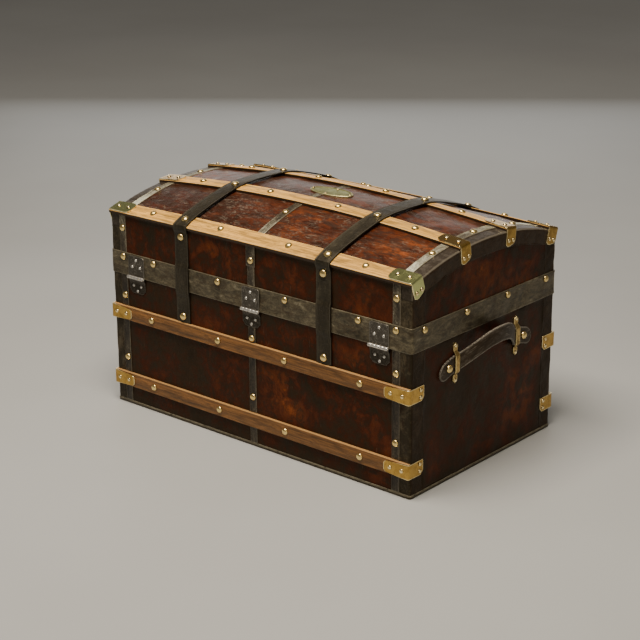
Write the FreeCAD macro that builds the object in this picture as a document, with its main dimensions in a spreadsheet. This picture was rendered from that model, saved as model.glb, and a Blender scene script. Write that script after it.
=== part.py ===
"""Dome top travelling trunk: a leather-clad wooden box with a crowned, slatted lid.

Frame: millimetres, +Z up, origin on the floor under the middle of the trunk.
The front with the lock faces -Y, the hinged back faces +Y, the length runs along X.
"""
import FreeCAD
import Part
import math
import os
from functools import lru_cache

Vector = FreeCAD.Vector
doc = FreeCAD.newDocument("dome_top_trunk")

# ---------------------------------------------------------------- driving dimensions
SIZES = [
    ("length", 860, "outside length over the leather"),
    ("depth", 504, "outside depth over the leather"),
    ("seam_height", 314, "top of the trunk body, where the lid parts from it"),
    ("seam_gap", 0.4, "air between body and lid when shut"),
    ("board", 10, "thickness of the wall boards"),
    ("floor_board", 10, "thickness of the floor board"),
    ("dome_board", 7, "thickness of the bent dome board"),
    ("leather", 2, "thickness of the leather covering"),
    ("lining", 1, "thickness of the cloth lining"),
    ("corner_radius", 5, "rounding of the upright leather corners"),
    ("eave_height", 142, "lid wall from the seam to the dome's long edge, at the ends"),
    ("eave_rise", 4, "extra height of that edge at mid length"),
    ("crown_end", 41.8, "dome's crown above its long edge, at the ends"),
    ("crown_middle", 62.5, "dome's crown above its long edge, at mid length"),
    ("eave_inset", 2, "dome's long edge inside the outer face"),
    ("band_height", 53, "height of the metal rim band"),
    ("band_thickness", 2.5, "thickness of the metal rim band"),
    ("slat_width", 33, "width of every wooden slat"),
    ("slat_thickness", 7, "thickness of every wooden slat"),
    ("slat_rounding", 2, "rounding of the body slats' outer edges"),
    ("upper_slat_drop_back", 90.5, "middle of the back's upper slat below the seam"),
    ("upper_slat_drop_front", 106, "middle of the front's upper slat below the seam"),
    ("lower_slat", 62, "middle of both lower slats above the floor"),
    ("dome_slat_offset", 81, "middle of the dome slats from the trunk's middle plane"),
    ("edge_slat_overhang", 5, "edge slats stand out past the leather by this"),
    ("strip_width", 20, "width of the seam strips"),
    ("strip_thickness", 1, "thickness of the seam strips"),
    ("corner_on_side", 28, "corner leather's reach along the long faces"),
    ("corner_on_end", 40, "corner leather's reach along the end faces"),
    ("edge_binding_drop", 45, "dome edge binding's reach down the end faces"),
    ("welt_height", 8, "height of the binding round the bottom edge"),
    ("welt_thickness", 1.5, "thickness of the binding round the bottom edge"),
    ("strap_width", 40, "width of the leather straps"),
    ("strap_thickness", 3, "thickness of the leather straps"),
    ("strap_offset", 204, "middle of each strap from mid length"),
    ("skin_gap", 0.3, "clearance of straps over what they cross"),
    ("clip_thickness", 2, "thickness of the brass clips"),
    ("clip_length", 60, "clip's leg along the slat"),
    ("clip_rounding", 10, "rounding of the clips' free ends"),
    ("clip_chamfer", 8, "cut-off lower corner of the body clip's end leg"),
    ("body_clip_return", 37, "body clip's leg on the end face"),
    ("lid_clip_return", 40, "lid clip's leg down the end face"),
    ("nail_diameter", 16, "head of the dome nails"),
    ("nail_rise", 5.5, "height of the dome nails' heads"),
    ("strap_nail_diameter", 18, "head of the strap nails"),
    ("strap_nail_rise", 6, "height of the strap nails' heads"),
    ("clip_nail_diameter", 9.5, "head of the clip nails"),
    ("clip_nail_rise", 3, "height of the clip nails' heads"),
    ("tack_diameter", 7, "head of the small hinge tacks"),
    ("tack_rise", 2.2, "height of the hinge tacks' heads"),
    ("inner_nail", 97, "inner slat and band nails from mid length"),
    ("outer_nail_inset", 127, "outer slat nails from the trunk's end"),
    ("band_nail_inset", 135, "outer band nails from the trunk's end"),
    ("end_nail_inner", 72, "inner end nails from the middle plane"),
    ("end_nail_outer", 214, "outer end nails from the middle plane"),
    ("band_nail_drop", 10.5, "band nails below the band's top edge"),
    ("strip_nail_drop", 49, "outer strips' body nails below the seam"),
    ("low_strip_nail", 115, "strips' lower body nails above the floor"),
    ("wall_strip_nail", 56, "strips' lid wall nails above the band"),
    ("wall_strap_nail", 70, "straps' lid wall nails above the band"),
    ("dome_strip_nail", 140, "strips' dome nails from the middle plane"),
    ("strap_end_nail", 15, "nail in the strap's lower end above the slat"),
    ("hinge_inset", 80, "outer hinges from the trunk's end"),
    ("hinge_width", 50, "width of a hinge"),
    ("hinge_leaf_height", 50, "height of the upper hinge leaf"),
    ("hinge_lower_height", 38, "height of the lower hinge leaf"),
    ("leaf_thickness", 1.6, "thickness of the hinge leaves"),
    ("knuckle_radius", 4, "outside radius of the hinge knuckles"),
    ("pin_radius", 2, "radius of the hinge pins"),
    ("pin_play", 0.05, "radial clearance of a pin in its bore"),
    ("knuckle_play", 0.4, "clearance round and between knuckles"),
    ("handle_drop", 58, "middle of the handle bridges below the seam"),
    ("bridge_offset", 108, "handle bridges from the middle plane"),
    ("bridge_width", 14, "width of a handle bridge"),
    ("bridge_reach", 44, "half height of a handle bridge"),
    ("bridge_thickness", 2, "thickness of a handle bridge"),
    ("handle_width", 38, "width of the leather handle"),
    ("handle_thickness", 6, "thickness of the leather grip"),
    ("tab_thickness", 5, "thickness of the handle's flat ends"),
    ("handle_bow", 33, "grip's reach out from the end face at its middle"),
    ("handle_rise", 44, "grip's rise above its ends at its middle"),
    ("neck_radius", 4, "round neck at each end of the grip, on the line it bends about"),
    ("neck_length", 14, "length of that neck"),
    ("tab_end", 162, "handle's tip from the middle plane"),
    ("tab_start", 96, "handle's flat end starts here from the middle plane"),
    ("tab_droop", 14, "handle's tips hang below its bridges by this"),
    ("stud_offset", 133, "handle studs from the middle plane"),
    ("plate_length", 116, "oval plate's length"),
    ("plate_width", 54, "oval plate's width"),
    ("plate_offset", 10, "oval plate's middle from mid length"),
    ("plate_thickness", 1.5, "oval plate's thickness"),
    ("stay_radius", 182, "middle radius of the quadrant stays about the hinge axis"),
    ("stay_width", 12, "width of a quadrant stay"),
    ("stay_thickness", 3, "thickness of a quadrant stay"),
    ("stay_top_angle", 24, "stay's upper end above the hinge axis, degrees"),
    ("stay_low_angle", 83, "stay's lower end below the hinge axis, degrees"),
    ("guide_angle", 2, "stay guide's upper edge below the hinge axis, degrees"),
    ("guide_span", 3, "stay guide's height along the stay, degrees"),
    ("guide_play", 0.6, "clearance of a stay in its guide"),
    ("guide_wall", 2.5, "wall of a stay guide"),
    ("stay_stop_angle", 3, "height of the stop at a stay's lower end, degrees"),
    ("stay_foot_angle", 6, "lower edge of a stay's seat on the lid, degrees"),
    ("lock_width", 90, "width of the lock case"),
    ("lock_depth", 18, "depth of the lock case"),
    ("lock_height", 62, "height of the lock case"),
    ("lock_wall", 2, "wall of the lock case"),
    ("tongue_offset", 25, "link tongues from mid length"),
    ("tongue_thickness", 3, "thickness of a link tongue"),
    ("tongue_width", 10, "width of a link tongue"),
    ("tongue_length", 20, "link tongue's reach into the lock"),
    ("lock_top_gap", 0.5, "lock case's top below the seam"),
    ("slot_side_play", 1.5, "room beside a tongue in the lock case's slot"),
    ("slot_swing_play", 2, "room for a tongue's swing in that slot"),
    ("link_gap", 1.5, "link plate above the seam"),
    ("link_height", 28, "height of the link plate"),
    ("eye_margin", 4, "metal below the eye of a tongue"),
    ("eye_height", 8, "height of the eye of a tongue"),
    ("eye_width", 6, "width of the eye of a tongue"),
    ("bolt_gap", 3, "bolt's bar below the tongues' tips"),
    ("bolt_height", 6, "height of the bolt's bar"),
    ("bolt_width", 4, "width of the bolt"),
    ("bolt_play", 0.1, "clearance of the lock bolt in its guide"),
    ("hook_length", 12, "length of a bolt hook"),
    ("hook_post", 4, "post that carries a bolt hook"),
    ("hook_play", 1.5, "clearance of a hook in a tongue's eye"),
    ("hook_gap", 2, "hook's tip from its tongue with the bolt drawn"),
    ("bolt_guide_width", 20, "width of the bolt's guide"),
    ("bolt_guide_rim", 3, "metal above and below the bolt in its guide"),
    ("keyhole_drop", 50, "keyhole below the seam"),
    ("keyhole_radius", 3.5, "radius of the keyhole"),
    ("escutcheon_width", 44, "width of the keyhole plate"),
    ("escutcheon_height", 62, "height of the keyhole plate"),
    ("escutcheon_thickness", 1.6, "thickness of the keyhole plate"),
    ("cover_pivot_rise", 20, "pivot of the keyhole cover above the keyhole"),
    ("cover_radius", 9, "round end of the keyhole cover"),
    ("cover_eye_radius", 5.5, "round top of the keyhole cover"),
    ("cover_thickness", 1.6, "thickness of the keyhole cover"),
    ("cover_gap", 0.3, "clearance of the cover over its plate and under its stud's head"),
    ("cover_stud_radius", 2.5, "radius of the stud that the cover hangs on"),
    ("cover_head_radius", 4, "radius of that stud's head"),
    ("cover_head", 1.2, "thickness of that stud's head"),
]
sheet = doc.addObject("Spreadsheet::Sheet", "sizes")
for row, (alias, number, note) in enumerate(SIZES, start=1):
    sheet.set("A%d" % row, alias)
    sheet.set("B%d" % row, str(number))
    sheet.set("C%d" % row, note)
    sheet.setAlias("B%d" % row, alias)
doc.recompute()


def size(alias):
    """One driving dimension, read from the sheet."""
    return float(sheet.get(alias))


# ---------------------------------------------------------------- places worked out from the sizes
half_length = size("length") / 2
half_depth = size("depth") / 2
seam = size("seam_height")
lid_base = seam + size("seam_gap")
band_top = lid_base + size("band_height")
board_x = half_length - size("leather")
board_y = half_depth - size("leather")
inner_x = board_x - size("board")
inner_y = board_y - size("board")
room_x = inner_x - size("lining")
room_y = inner_y - size("lining")
band_x = half_length + size("band_thickness")
band_y = half_depth + size("band_thickness")
slat_face = half_depth + size("slat_thickness")
strip_offset = half_length - size("corner_on_side") - size("strip_width") / 2
edge_slat_outer = half_depth + size("edge_slat_overhang")
edge_slat_middle = edge_slat_outer - size("slat_width") / 2
hinge_y = band_y + size("knuckle_radius") + size("knuckle_play")
hinge_z = seam + size("seam_gap") / 2
hinge_offset = half_length - size("hinge_inset")
hinge_places = [-hinge_offset, 0, hinge_offset]
handle_z = seam - size("handle_drop")
tab_bend = size("bridge_offset") + size("bridge_width") / 2 + 1
stud_share = (size("stud_offset") - tab_bend) / (size("tab_end") - tab_bend)
stud_z = handle_z - size("tab_droop") * stud_share
keyhole_z = seam - size("keyhole_drop")
cover_pivot_z = keyhole_z + size("cover_pivot_rise")
slat_nail_offsets = (size("inner_nail"), half_length - size("outer_nail_inset"))
slat_nail_places = [side * x for side in (-1, 1) for x in slat_nail_offsets]
band_nail_offset = half_length - size("band_nail_inset")
strap_places = [-size("strap_offset"), size("strap_offset")]
strip_places = [-strip_offset, 0, strip_offset]
SIDES = (-1, 1)
ABOVE = 700
pieces = {}


# ---------------------------------------------------------------- helpers
def keep(thing, name):
    """Name a document object as one of the trunk's pieces."""
    thing.Label = name
    pieces[name] = thing
    return thing


def shaped(name, solids):
    """A piece whose shape is made by Part's own functions, one solid or a group."""
    thing = doc.addObject("Part::Feature", name)
    thing.Shape = Part.makeCompound(solids) if len(solids) > 1 else solids[0]
    thing.Placement = FreeCAD.Placement()
    return keep(thing, name)


def block(x0, x1, y0, y1, z0, z1):
    """A box between two corners, given in any order."""
    low = Vector(min(x0, x1), min(y0, y1), min(z0, z1))
    return Part.makeBox(abs(x1 - x0), abs(y1 - y0), abs(z1 - z0), low)


def rounded_block(half_x, half_y, z0, z1, radius):
    """A box centred on the origin with its upright edges rounded."""
    solid = block(-half_x, half_x, -half_y, half_y, z0, z1)
    upright = [e for e in solid.Edges if abs(e.tangentAt(e.FirstParameter).z) > 0.9]
    return solid.makeFillet(radius, upright)


def prism_yz(points, x0, x1):
    """A (y, z) outline drawn out along X."""
    wire = Part.makePolygon([Vector(x0, y, z) for y, z in points + points[:1]])
    return Part.Face(wire).extrude(Vector(x1 - x0, 0, 0))


def rod_x(radius, x0, x1, y, z):
    """A round rod along X."""
    return Part.makeCylinder(radius, x1 - x0, Vector(x0, y, z), Vector(1, 0, 0))


def one(shape):
    """The only solid of a shape."""
    assert len(shape.Solids) == 1, "expected one solid, got %d" % len(shape.Solids)
    return shape.Solids[0]


def set_on(solid, point, normal):
    """A copy of a solid modelled on the XY plane, set on a surface point along its normal."""
    turn = FreeCAD.Rotation(Vector(0, 0, 1), normal)
    copy = solid.copy()
    copy.Placement = FreeCAD.Placement(point, turn)
    return copy


def make_box(name, sizes, corner):
    """A Part box whose sizes and corner are bound to the sheet."""
    box = doc.addObject("Part::Box", name)
    for key, formula in zip(("Length", "Width", "Height"), sizes):
        box.setExpression(key, formula)
    for axis, formula in zip("xyz", corner):
        box.setExpression("Placement.Base." + axis, formula)
    return box


def new_sketch(body, role, name):
    """A sketch on one of the body's own origin planes."""
    sketch = body.newObject("Sketcher::SketchObject", name)
    plane = [item for item in body.Origin.OriginFeatures if item.Role == role][0]
    sketch.AttachmentSupport = [(plane, "")]
    sketch.MapMode = "FlatFace"
    return sketch


def draw_rectangle(sketch, width, height):
    """A rectangle centred on the sketch's origin, bound to two formulas."""
    import Sketcher
    corners = [Vector(-5, -5, 0), Vector(5, -5, 0), Vector(5, 5, 0), Vector(-5, 5, 0)]
    for index in range(4):
        sketch.addGeometry(Part.LineSegment(corners[index], corners[(index + 1) % 4]))
    for index in range(4):
        sketch.addConstraint(Sketcher.Constraint("Coincident", index, 2, (index + 1) % 4, 1))
    for index in (0, 2):
        sketch.addConstraint(Sketcher.Constraint("Horizontal", index))
        sketch.addConstraint(Sketcher.Constraint("Vertical", index + 1))
    sketch.addConstraint(Sketcher.Constraint("Symmetric", 0, 1, 1, 2, -1, 1))
    across = sketch.addConstraint(Sketcher.Constraint("DistanceX", 0, 1, 0, 2, 10))
    up = sketch.addConstraint(Sketcher.Constraint("DistanceY", 1, 1, 1, 2, 10))
    sketch.setExpression("Constraints[%d]" % across, width)
    sketch.setExpression("Constraints[%d]" % up, height)


def draw_outline(sketch, points):
    """A closed outline of straight lines through (x, y) points."""
    corners = [Vector(x, y, 0) for x, y in points]
    for start, end in zip(corners, corners[1:] + corners[:1]):
        sketch.addGeometry(Part.LineSegment(start, end))


def add_pad(body, sketch, length, symmetric=False):
    """Pad a sketch by a length formula, on one side or about its plane."""
    pad = body.newObject("PartDesign::Pad", body.Name + "_pad")
    pad.Profile = sketch
    pad.setExpression("Length", length)
    if symmetric:
        pad.SideType = "Symmetric"
    body.Tip = pad
    return pad


def nail_body(name, diameter, rise):
    """A domed nail head on the XY plane, as a revolved half outline."""
    import Sketcher
    body = doc.addObject("PartDesign::Body", name)
    sketch = new_sketch(body, "XZ_Plane", name + "_outline")
    radius = size(diameter) / 2
    height = size(rise)
    bulge = (radius ** 2 + height ** 2) / (2 * height)
    centre = height - bulge
    lean = math.radians(45)
    middle = Vector(bulge * math.sin(lean / 2), centre + bulge * math.cos(lean / 2), 0)
    rim = Vector(radius, 0, 0)
    top = Vector(0, height, 0)
    if bulge * math.sin(lean / 2) > radius:
        middle = Vector(radius / 2, centre + math.sqrt(bulge ** 2 - radius ** 2 / 4), 0)
    sketch.addGeometry(Part.LineSegment(Vector(0, 0, 0), rim))
    sketch.addGeometry(Part.Arc(rim, middle, top))
    sketch.addGeometry(Part.LineSegment(top, Vector(0, 0, 0)))
    sketch.addConstraint(Sketcher.Constraint("Coincident", 0, 1, -1, 1))
    sketch.addConstraint(Sketcher.Constraint("Coincident", 2, 2, -1, 1))
    sketch.addConstraint(Sketcher.Constraint("PointOnObject", 0, 2, -1))
    sketch.addConstraint(Sketcher.Constraint("PointOnObject", 2, 1, -2))
    sketch.addConstraint(Sketcher.Constraint("Coincident", 0, 2, 1, 1))
    sketch.addConstraint(Sketcher.Constraint("Coincident", 1, 2, 2, 1))
    sketch.addConstraint(Sketcher.Constraint("PointOnObject", 1, 3, -2))
    across = sketch.addConstraint(Sketcher.Constraint("DistanceX", 0, 1, 0, 2, radius))
    up = sketch.addConstraint(Sketcher.Constraint("DistanceY", 2, 2, 2, 1, height))
    sketch.setExpression("Constraints[%d]" % across, "sizes.%s / 2" % diameter)
    sketch.setExpression("Constraints[%d]" % up, "sizes." + rise)
    turn = body.newObject("PartDesign::Revolution", name + "_turn")
    turn.Profile = sketch
    turn.ReferenceAxis = (sketch, ["V_Axis"])
    turn.Angle = 360
    body.Tip = turn
    doc.recompute()
    return one(body.Shape)


# ---------------------------------------------------------------- the crowned dome
def dome_section(x, lift):
    """Radius and centre height of the dome's round section at x, raised by lift."""
    share = (x / half_length) ** 2
    eave_end = seam + size("eave_height")
    crown_end = eave_end + size("crown_end")
    eave_mid = eave_end + size("eave_rise")
    crown_mid = eave_mid + size("crown_middle")
    eave = eave_mid - (eave_mid - eave_end) * share
    crown = crown_mid - (crown_mid - crown_end) * share
    half = half_depth - size("eave_inset")
    sag = crown - eave
    radius = (half ** 2 + sag ** 2) / (2 * sag)
    return radius + lift, crown - radius


def dome_point(x, y, lift):
    """A point of the raised dome surface and its outward normal."""
    radius, centre = dome_section(x, lift)
    height = centre + math.sqrt(radius ** 2 - y ** 2)
    step = 1.0
    ahead_radius, ahead_centre = dome_section(x + step, lift)
    slope = ahead_centre + math.sqrt(ahead_radius ** 2 - y ** 2) - height
    normal = Vector(-slope / step * math.sqrt(1 - (y / radius) ** 2), y / radius, 0)
    normal.z = math.sqrt(1 - (y / radius) ** 2)
    normal.normalize()
    return Vector(x, y, height), normal


@lru_cache(maxsize=None)
def dome(lift):
    """The solid below the dome surface raised by lift, lofted through five sections."""
    reach_x = half_length + 20
    reach_y = half_depth + 20
    foot = lid_base + 20
    wires = []
    for share in (-1, -0.5, 0, 0.5, 1):
        x = share * reach_x
        radius, centre = dome_section(x, lift)
        edge = centre + math.sqrt(radius ** 2 - reach_y ** 2)
        left = Vector(x, -reach_y, edge)
        right = Vector(x, reach_y, edge)
        arc = Part.Arc(left, Vector(x, 0, centre + radius), right).toShape()
        corners = [right, Vector(x, reach_y, foot), Vector(x, -reach_y, foot), left]
        sides = [Part.makeLine(a, b) for a, b in zip(corners, corners[1:])]
        wires.append(Part.Wire([arc] + sides))
    return Part.makeLoft(wires, True, False)


def layer(low, high, bounds):
    """The part of a block between two raised dome surfaces."""
    return bounds.common(dome(high)).cut(dome(low))


def under_dome(lift, solid):
    """A solid cut off by the raised dome surface."""
    return solid.common(dome(lift))


# ---------------------------------------------------------------- trunk body: boards and lining
def build_body_boards():
    """Four wall boards and the floor board, the front one bored for the key."""
    wall = "(sizes.board)"
    full = "(sizes.length - 2 * sizes.leather)"
    deep = "(sizes.depth - 2 * sizes.leather)"
    back = make_box("back_board", (full, "sizes.board", "sizes.seam_height"),
                    ("-%s / 2" % full, "%s / 2 - %s" % (deep, wall), "0"))
    keep(back, "back_board")
    plank = make_box("front_plank", (full, "sizes.board", "sizes.seam_height"),
                     ("-%s / 2" % full, "-%s / 2" % deep, "0"))
    bore = doc.addObject("Part::Cylinder", "key_bore")
    bore.setExpression("Radius", "sizes.keyhole_radius")
    bore.setExpression("Height", "sizes.board * 3")
    bore.Placement = FreeCAD.Placement(Vector(0, 0, 0), FreeCAD.Rotation(Vector(1, 0, 0), 90))
    bore.setExpression("Placement.Base.y", "-%s / 2 + 2 * %s" % (deep, wall))
    bore.setExpression("Placement.Base.z", "sizes.seam_height - sizes.keyhole_drop")
    front = doc.addObject("Part::Cut", "front_board")
    front.Base = plank
    front.Tool = bore
    keep(front, "front_board")
    for side, name in zip(SIDES, ("left_board", "right_board")):
        start = "-%s / 2" % full if side < 0 else "%s / 2 - %s" % (full, wall)
        end = make_box(name, ("sizes.board", "%s - 2 * %s" % (deep, wall), "sizes.seam_height"),
                       (start, "-%s / 2 + %s" % (deep, wall), "0"))
        keep(end, name)
    floor = make_box("floor_board",
                     ("%s - 2 * %s" % (full, wall), "%s - 2 * %s" % (deep, wall), "sizes.floor_board"),
                     ("-%s / 2 + %s" % (full, wall), "-%s / 2 + %s" % (deep, wall), "0"))
    keep(floor, "floor_board")


def build_body_lining():
    """One tray of cloth on the inside walls and the floor, cut for the keyway."""
    floor_top = size("floor_board")
    outer = block(-inner_x, inner_x, -inner_y, inner_y, floor_top, seam)
    hollow = block(-room_x, room_x, -room_y, room_y, floor_top + size("lining"), seam + 5)
    key = Part.makeCylinder(size("keyhole_radius"), size("board"),
                            Vector(0, -inner_y - 2, keyhole_z), Vector(0, 1, 0))
    shaped("body_lining", [one(outer.cut(hollow).cut(key))])


# ---------------------------------------------------------------- trunk body: leather
def leather_shell(z0, z1):
    """The leather layer round the boards, without top or bottom."""
    outer = rounded_block(half_length, half_depth, z0, z1, size("corner_radius"))
    return outer.cut(block(-board_x, board_x, -board_y, board_y, z0 - 1, z1 + 1))


def corner_zone(side_x, side_y, z0, z1):
    """The part of the leather layer that one corner leather covers."""
    near_x = side_x * (half_length - size("corner_on_side"))
    near_y = side_y * (half_depth - size("corner_on_end"))
    far_x = side_x * (half_length + 1)
    far_y = side_y * (half_depth + 1)
    return block(near_x, far_x, near_y, far_y, z0, z1)


def corner_pieces(shell, z0, z1):
    """Four corner leathers cut out of a leather layer."""
    return [one(shell.common(corner_zone(sx, sy, z0, z1))) for sx in SIDES for sy in SIDES]


def panel_pieces(shell, z0, z1):
    """Two panels on each long face and one on each end, between the corner leathers."""
    reach_x = half_length - size("corner_on_side")
    reach_y = half_depth - size("corner_on_end")
    panels = []
    for side in SIDES:
        for half in SIDES:
            zone = block(0, half * reach_x, side * (board_y - 1), side * (half_depth + 1), z0, z1)
            panels.append(one(shell.common(zone)))
        zone = block(side * (board_x - 1), side * (half_length + 1), -reach_y, reach_y, z0, z1)
        panels.append(one(shell.common(zone)))
    return panels


def ring_strips(outer, inner, z0, z1, cut_x):
    """A ring round the trunk in four strips, parted near its corners."""
    ring = outer.cut(inner)
    far = half_length + 50
    strips = []
    for side in SIDES:
        strips.append(one(ring.common(block(-cut_x, cut_x, 0, side * far, z0 - 1, z1 + 1))))
        strips.append(one(ring.common(block(side * cut_x, side * far, -far, far, z0 - 1, z1 + 1))))
    return strips


def build_body_leather():
    """Leather panels, corner leathers and the welt round the bottom edge."""
    shell = leather_shell(0, seam)
    key = Part.makeCylinder(size("keyhole_radius"), size("board"),
                            Vector(0, -half_depth - 3, keyhole_z), Vector(0, 1, 0))
    shell = shell.cut(key)
    shaped("body_leather_panels", panel_pieces(shell, 0, seam))
    shaped("body_corner_leathers", corner_pieces(shell, 0, seam))
    grow = size("welt_thickness")
    outer = rounded_block(half_length + grow, half_depth + grow, 0, size("welt_height"),
                          size("corner_radius") + grow)
    inner = rounded_block(half_length, half_depth, -1, size("welt_height") + 1, size("corner_radius"))
    cut_x = half_length - size("corner_radius")
    shaped("bottom_welt", ring_strips(outer, inner, 0, size("welt_height"), cut_x))


# ---------------------------------------------------------------- slats and seam strips
def slat_heights(side):
    """Middle heights of the lower and upper slat on the front (-1) or the back (1)."""
    drop = size("upper_slat_drop_back") if side > 0 else size("upper_slat_drop_front")
    return size("lower_slat"), seam - drop


def build_body_slats():
    """Two padded and rounded slats on the back and two on the front."""
    names = {-1: ("front_lower_slat", "front_upper_slat"), 1: ("back_lower_slat", "back_upper_slat")}
    for side in SIDES:
        for name, height in zip(names[side], slat_heights(side)):
            body = doc.addObject("PartDesign::Body", name)
            sketch = new_sketch(body, "XZ_Plane", name + "_face")
            draw_rectangle(sketch, "sizes.length", "sizes.slat_width")
            pad = add_pad(body, sketch, "sizes.slat_thickness")
            doc.recompute()
            outer = [("Edge%d" % (i + 1)) for i, e in enumerate(pad.Shape.Edges)
                     if abs(e.BoundBox.YMin + size("slat_thickness")) < 0.01 and e.BoundBox.YLength < 0.01
                     and e.BoundBox.XLength > size("length") / 2]
            rounding = body.newObject("PartDesign::Fillet", name + "_rounding")
            rounding.Base = (pad, outer)
            rounding.setExpression("Radius", "sizes.slat_rounding")
            body.Tip = rounding
            turn = FreeCAD.Rotation(Vector(0, 0, 1), 0 if side < 0 else 180)
            body.Placement = FreeCAD.Placement(Vector(0, side * half_depth, height), turn)
            keep(body, name)


def strip_run(x, side, z0, z1):
    """One upright stretch of seam strip on a long face."""
    half = size("strip_width") / 2
    return block(x - half, x + half, side * half_depth, side * (half_depth + size("strip_thickness")), z0, z1)


def build_body_strips():
    """Upright seam strips between the seam, the slats and the welt."""
    half_slat = size("slat_width") / 2
    solids = []
    for side in SIDES:
        lower, upper = slat_heights(side)
        for x in strip_places:
            top = seam
            if side > 0 and x == 0:
                top = seam - size("hinge_lower_height")
            if side < 0 and x == 0:
                top = keyhole_z - size("escutcheon_height") / 2
            solids.append(strip_run(x, side, upper + half_slat, top))
            solids.append(strip_run(x, side, lower + half_slat, upper - half_slat))
            solids.append(strip_run(x, side, size("welt_height"), lower - half_slat))
    shaped("body_seam_strips", solids)


# ---------------------------------------------------------------- lid: boards and lining
def build_lid_boards():
    """Four lid walls topped by the dome, and the bent dome board on them."""
    ceiling = -size("leather") - size("dome_board")
    for side, name in zip(SIDES, ("lid_front_board", "lid_back_board")):
        wall = block(-board_x, board_x, side * inner_y, side * board_y, lid_base, ABOVE)
        shaped(name, [one(under_dome(ceiling, wall))])
    for side, name in zip(SIDES, ("lid_left_board", "lid_right_board")):
        wall = block(side * inner_x, side * board_x, -inner_y, inner_y, lid_base, ABOVE)
        shaped(name, [one(under_dome(ceiling, wall))])
    bounds = block(-board_x, board_x, -board_y, board_y, lid_base + 30, ABOVE)
    shaped("dome_board", [one(layer(ceiling, -size("leather"), bounds))])


def build_lid_lining():
    """One cap of cloth on the lid's inside walls and under the dome board."""
    ceiling = -size("leather") - size("dome_board")
    outer = under_dome(ceiling, block(-inner_x, inner_x, -inner_y, inner_y, lid_base, ABOVE))
    hollow = block(-room_x, room_x, -room_y, room_y, lid_base - 1, ABOVE)
    hollow = hollow.common(dome(ceiling - size("lining")).fuse(
        block(-room_x, room_x, -room_y, room_y, lid_base - 2, lid_base + 40)))
    shaped("lid_lining", [one(outer.cut(hollow))])


# ---------------------------------------------------------------- lid: leather, band, strips
def build_lid_leather():
    """Wall panels, corner leathers, two dome panels and the bindings on the dome's end edges."""
    skin = size("leather")
    shell = leather_shell(lid_base, ABOVE)
    walls = under_dome(-skin, shell)
    below_binding = under_dome(-size("edge_binding_drop"), shell)
    reach_x = half_length - size("corner_on_side")
    reach_y = half_depth - size("corner_on_end")
    panels = []
    for side in SIDES:
        for half in SIDES:
            zone = block(0, half * reach_x, side * (board_y - 1), side * (half_depth + 1), lid_base, ABOVE)
            panels.append(one(walls.common(zone)))
        zone = block(side * (board_x - 1), side * (half_length + 1), -reach_y, reach_y, lid_base, ABOVE)
        panels.append(one(below_binding.common(zone)))
    shaped("lid_wall_leathers", panels)
    shaped("lid_corner_leathers", corner_pieces(below_binding, lid_base, ABOVE))
    outer = rounded_block(half_length, half_depth, lid_base + 30, ABOVE, size("corner_radius"))
    top = []
    for half in SIDES:
        zone = block(0, half * reach_x, -half_depth, half_depth, lid_base + 30, ABOVE)
        top.append(one(layer(-skin, 0, zone)))
    shaped("dome_leathers", top)
    core = block(-board_x, board_x, -board_y, board_y, lid_base, ABOVE).common(dome(-skin))
    bindings = []
    for side in SIDES:
        zone = block(side * reach_x, side * (half_length + 1), -half_depth, half_depth, lid_base, ABOVE)
        cap = outer.common(zone).common(dome(0)).cut(core)
        bindings.append(one(cap.cut(dome(-size("edge_binding_drop")))))
    shaped("dome_edge_bindings", bindings)


def build_rim_band():
    """The metal band round the bottom of the lid, in four strips."""
    grow = size("band_thickness")
    outer = rounded_block(band_x, band_y, lid_base, band_top, size("corner_radius") + grow)
    inner = rounded_block(half_length, half_depth, lid_base - 1, band_top + 1, size("corner_radius"))
    shaped("rim_band", ring_strips(outer, inner, lid_base, band_top, half_length - size("corner_radius")))


def slat_rows():
    """The lid slats: name and (low y, high y), from the back edge to the front edge."""
    half = size("slat_width") / 2
    rows = []
    for name, middle in (("lid_back_edge_slat", edge_slat_middle),
                         ("lid_back_dome_slat", size("dome_slat_offset")),
                         ("lid_front_dome_slat", -size("dome_slat_offset")),
                         ("lid_front_edge_slat", -edge_slat_middle)):
        rows.append((name, middle - half, middle + half))
    return rows


def build_lid_slats():
    """Four slats bent along the crowned dome."""
    for name, low, high in slat_rows():
        bounds = block(-half_length, half_length, low, high, lid_base + 60, ABOVE)
        shaped(name, [one(layer(0, size("slat_thickness"), bounds))])


def plate_bounds():
    """The upright prism that the oval plate is cut from."""
    middle = Vector(-size("plate_offset"), 0, lid_base + 60)
    oval = Part.Ellipse(middle, size("plate_length") / 2, size("plate_width") / 2).toShape()
    return Part.Face(Part.Wire([oval])).extrude(Vector(0, 0, ABOVE))


def build_lid_strips():
    """Seam strips on the lid walls and across the dome between the slats."""
    half = size("strip_width") / 2
    rows = slat_rows()
    gaps = [(rows[i + 1][2], rows[i][1]) for i in range(3)]
    solids = []
    for x in strip_places:
        for low, high in gaps:
            bounds = block(x - half, x + half, low, high, lid_base + 60, ABOVE)
            strip = layer(0, size("strip_thickness"), bounds)
            solids += strip.cut(plate_bounds()).Solids
        for side in SIDES:
            solids.append(one(under_dome(-size("leather"), strip_run(x, side, band_top, ABOVE))))
    shaped("lid_seam_strips", solids)


# ---------------------------------------------------------------- straps
def strap_wall(side, x, points):
    """A stretch of strap on a long face, from (distance out, height) points of its inner line."""
    half = size("strap_width") / 2
    thick = size("strap_thickness")
    inner = [(side * out, z) for out, z in points]
    outer = [(side * (out + thick), z) for out, z in reversed(points)]
    return prism_yz(inner + outer, x - half, x + half)


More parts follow.
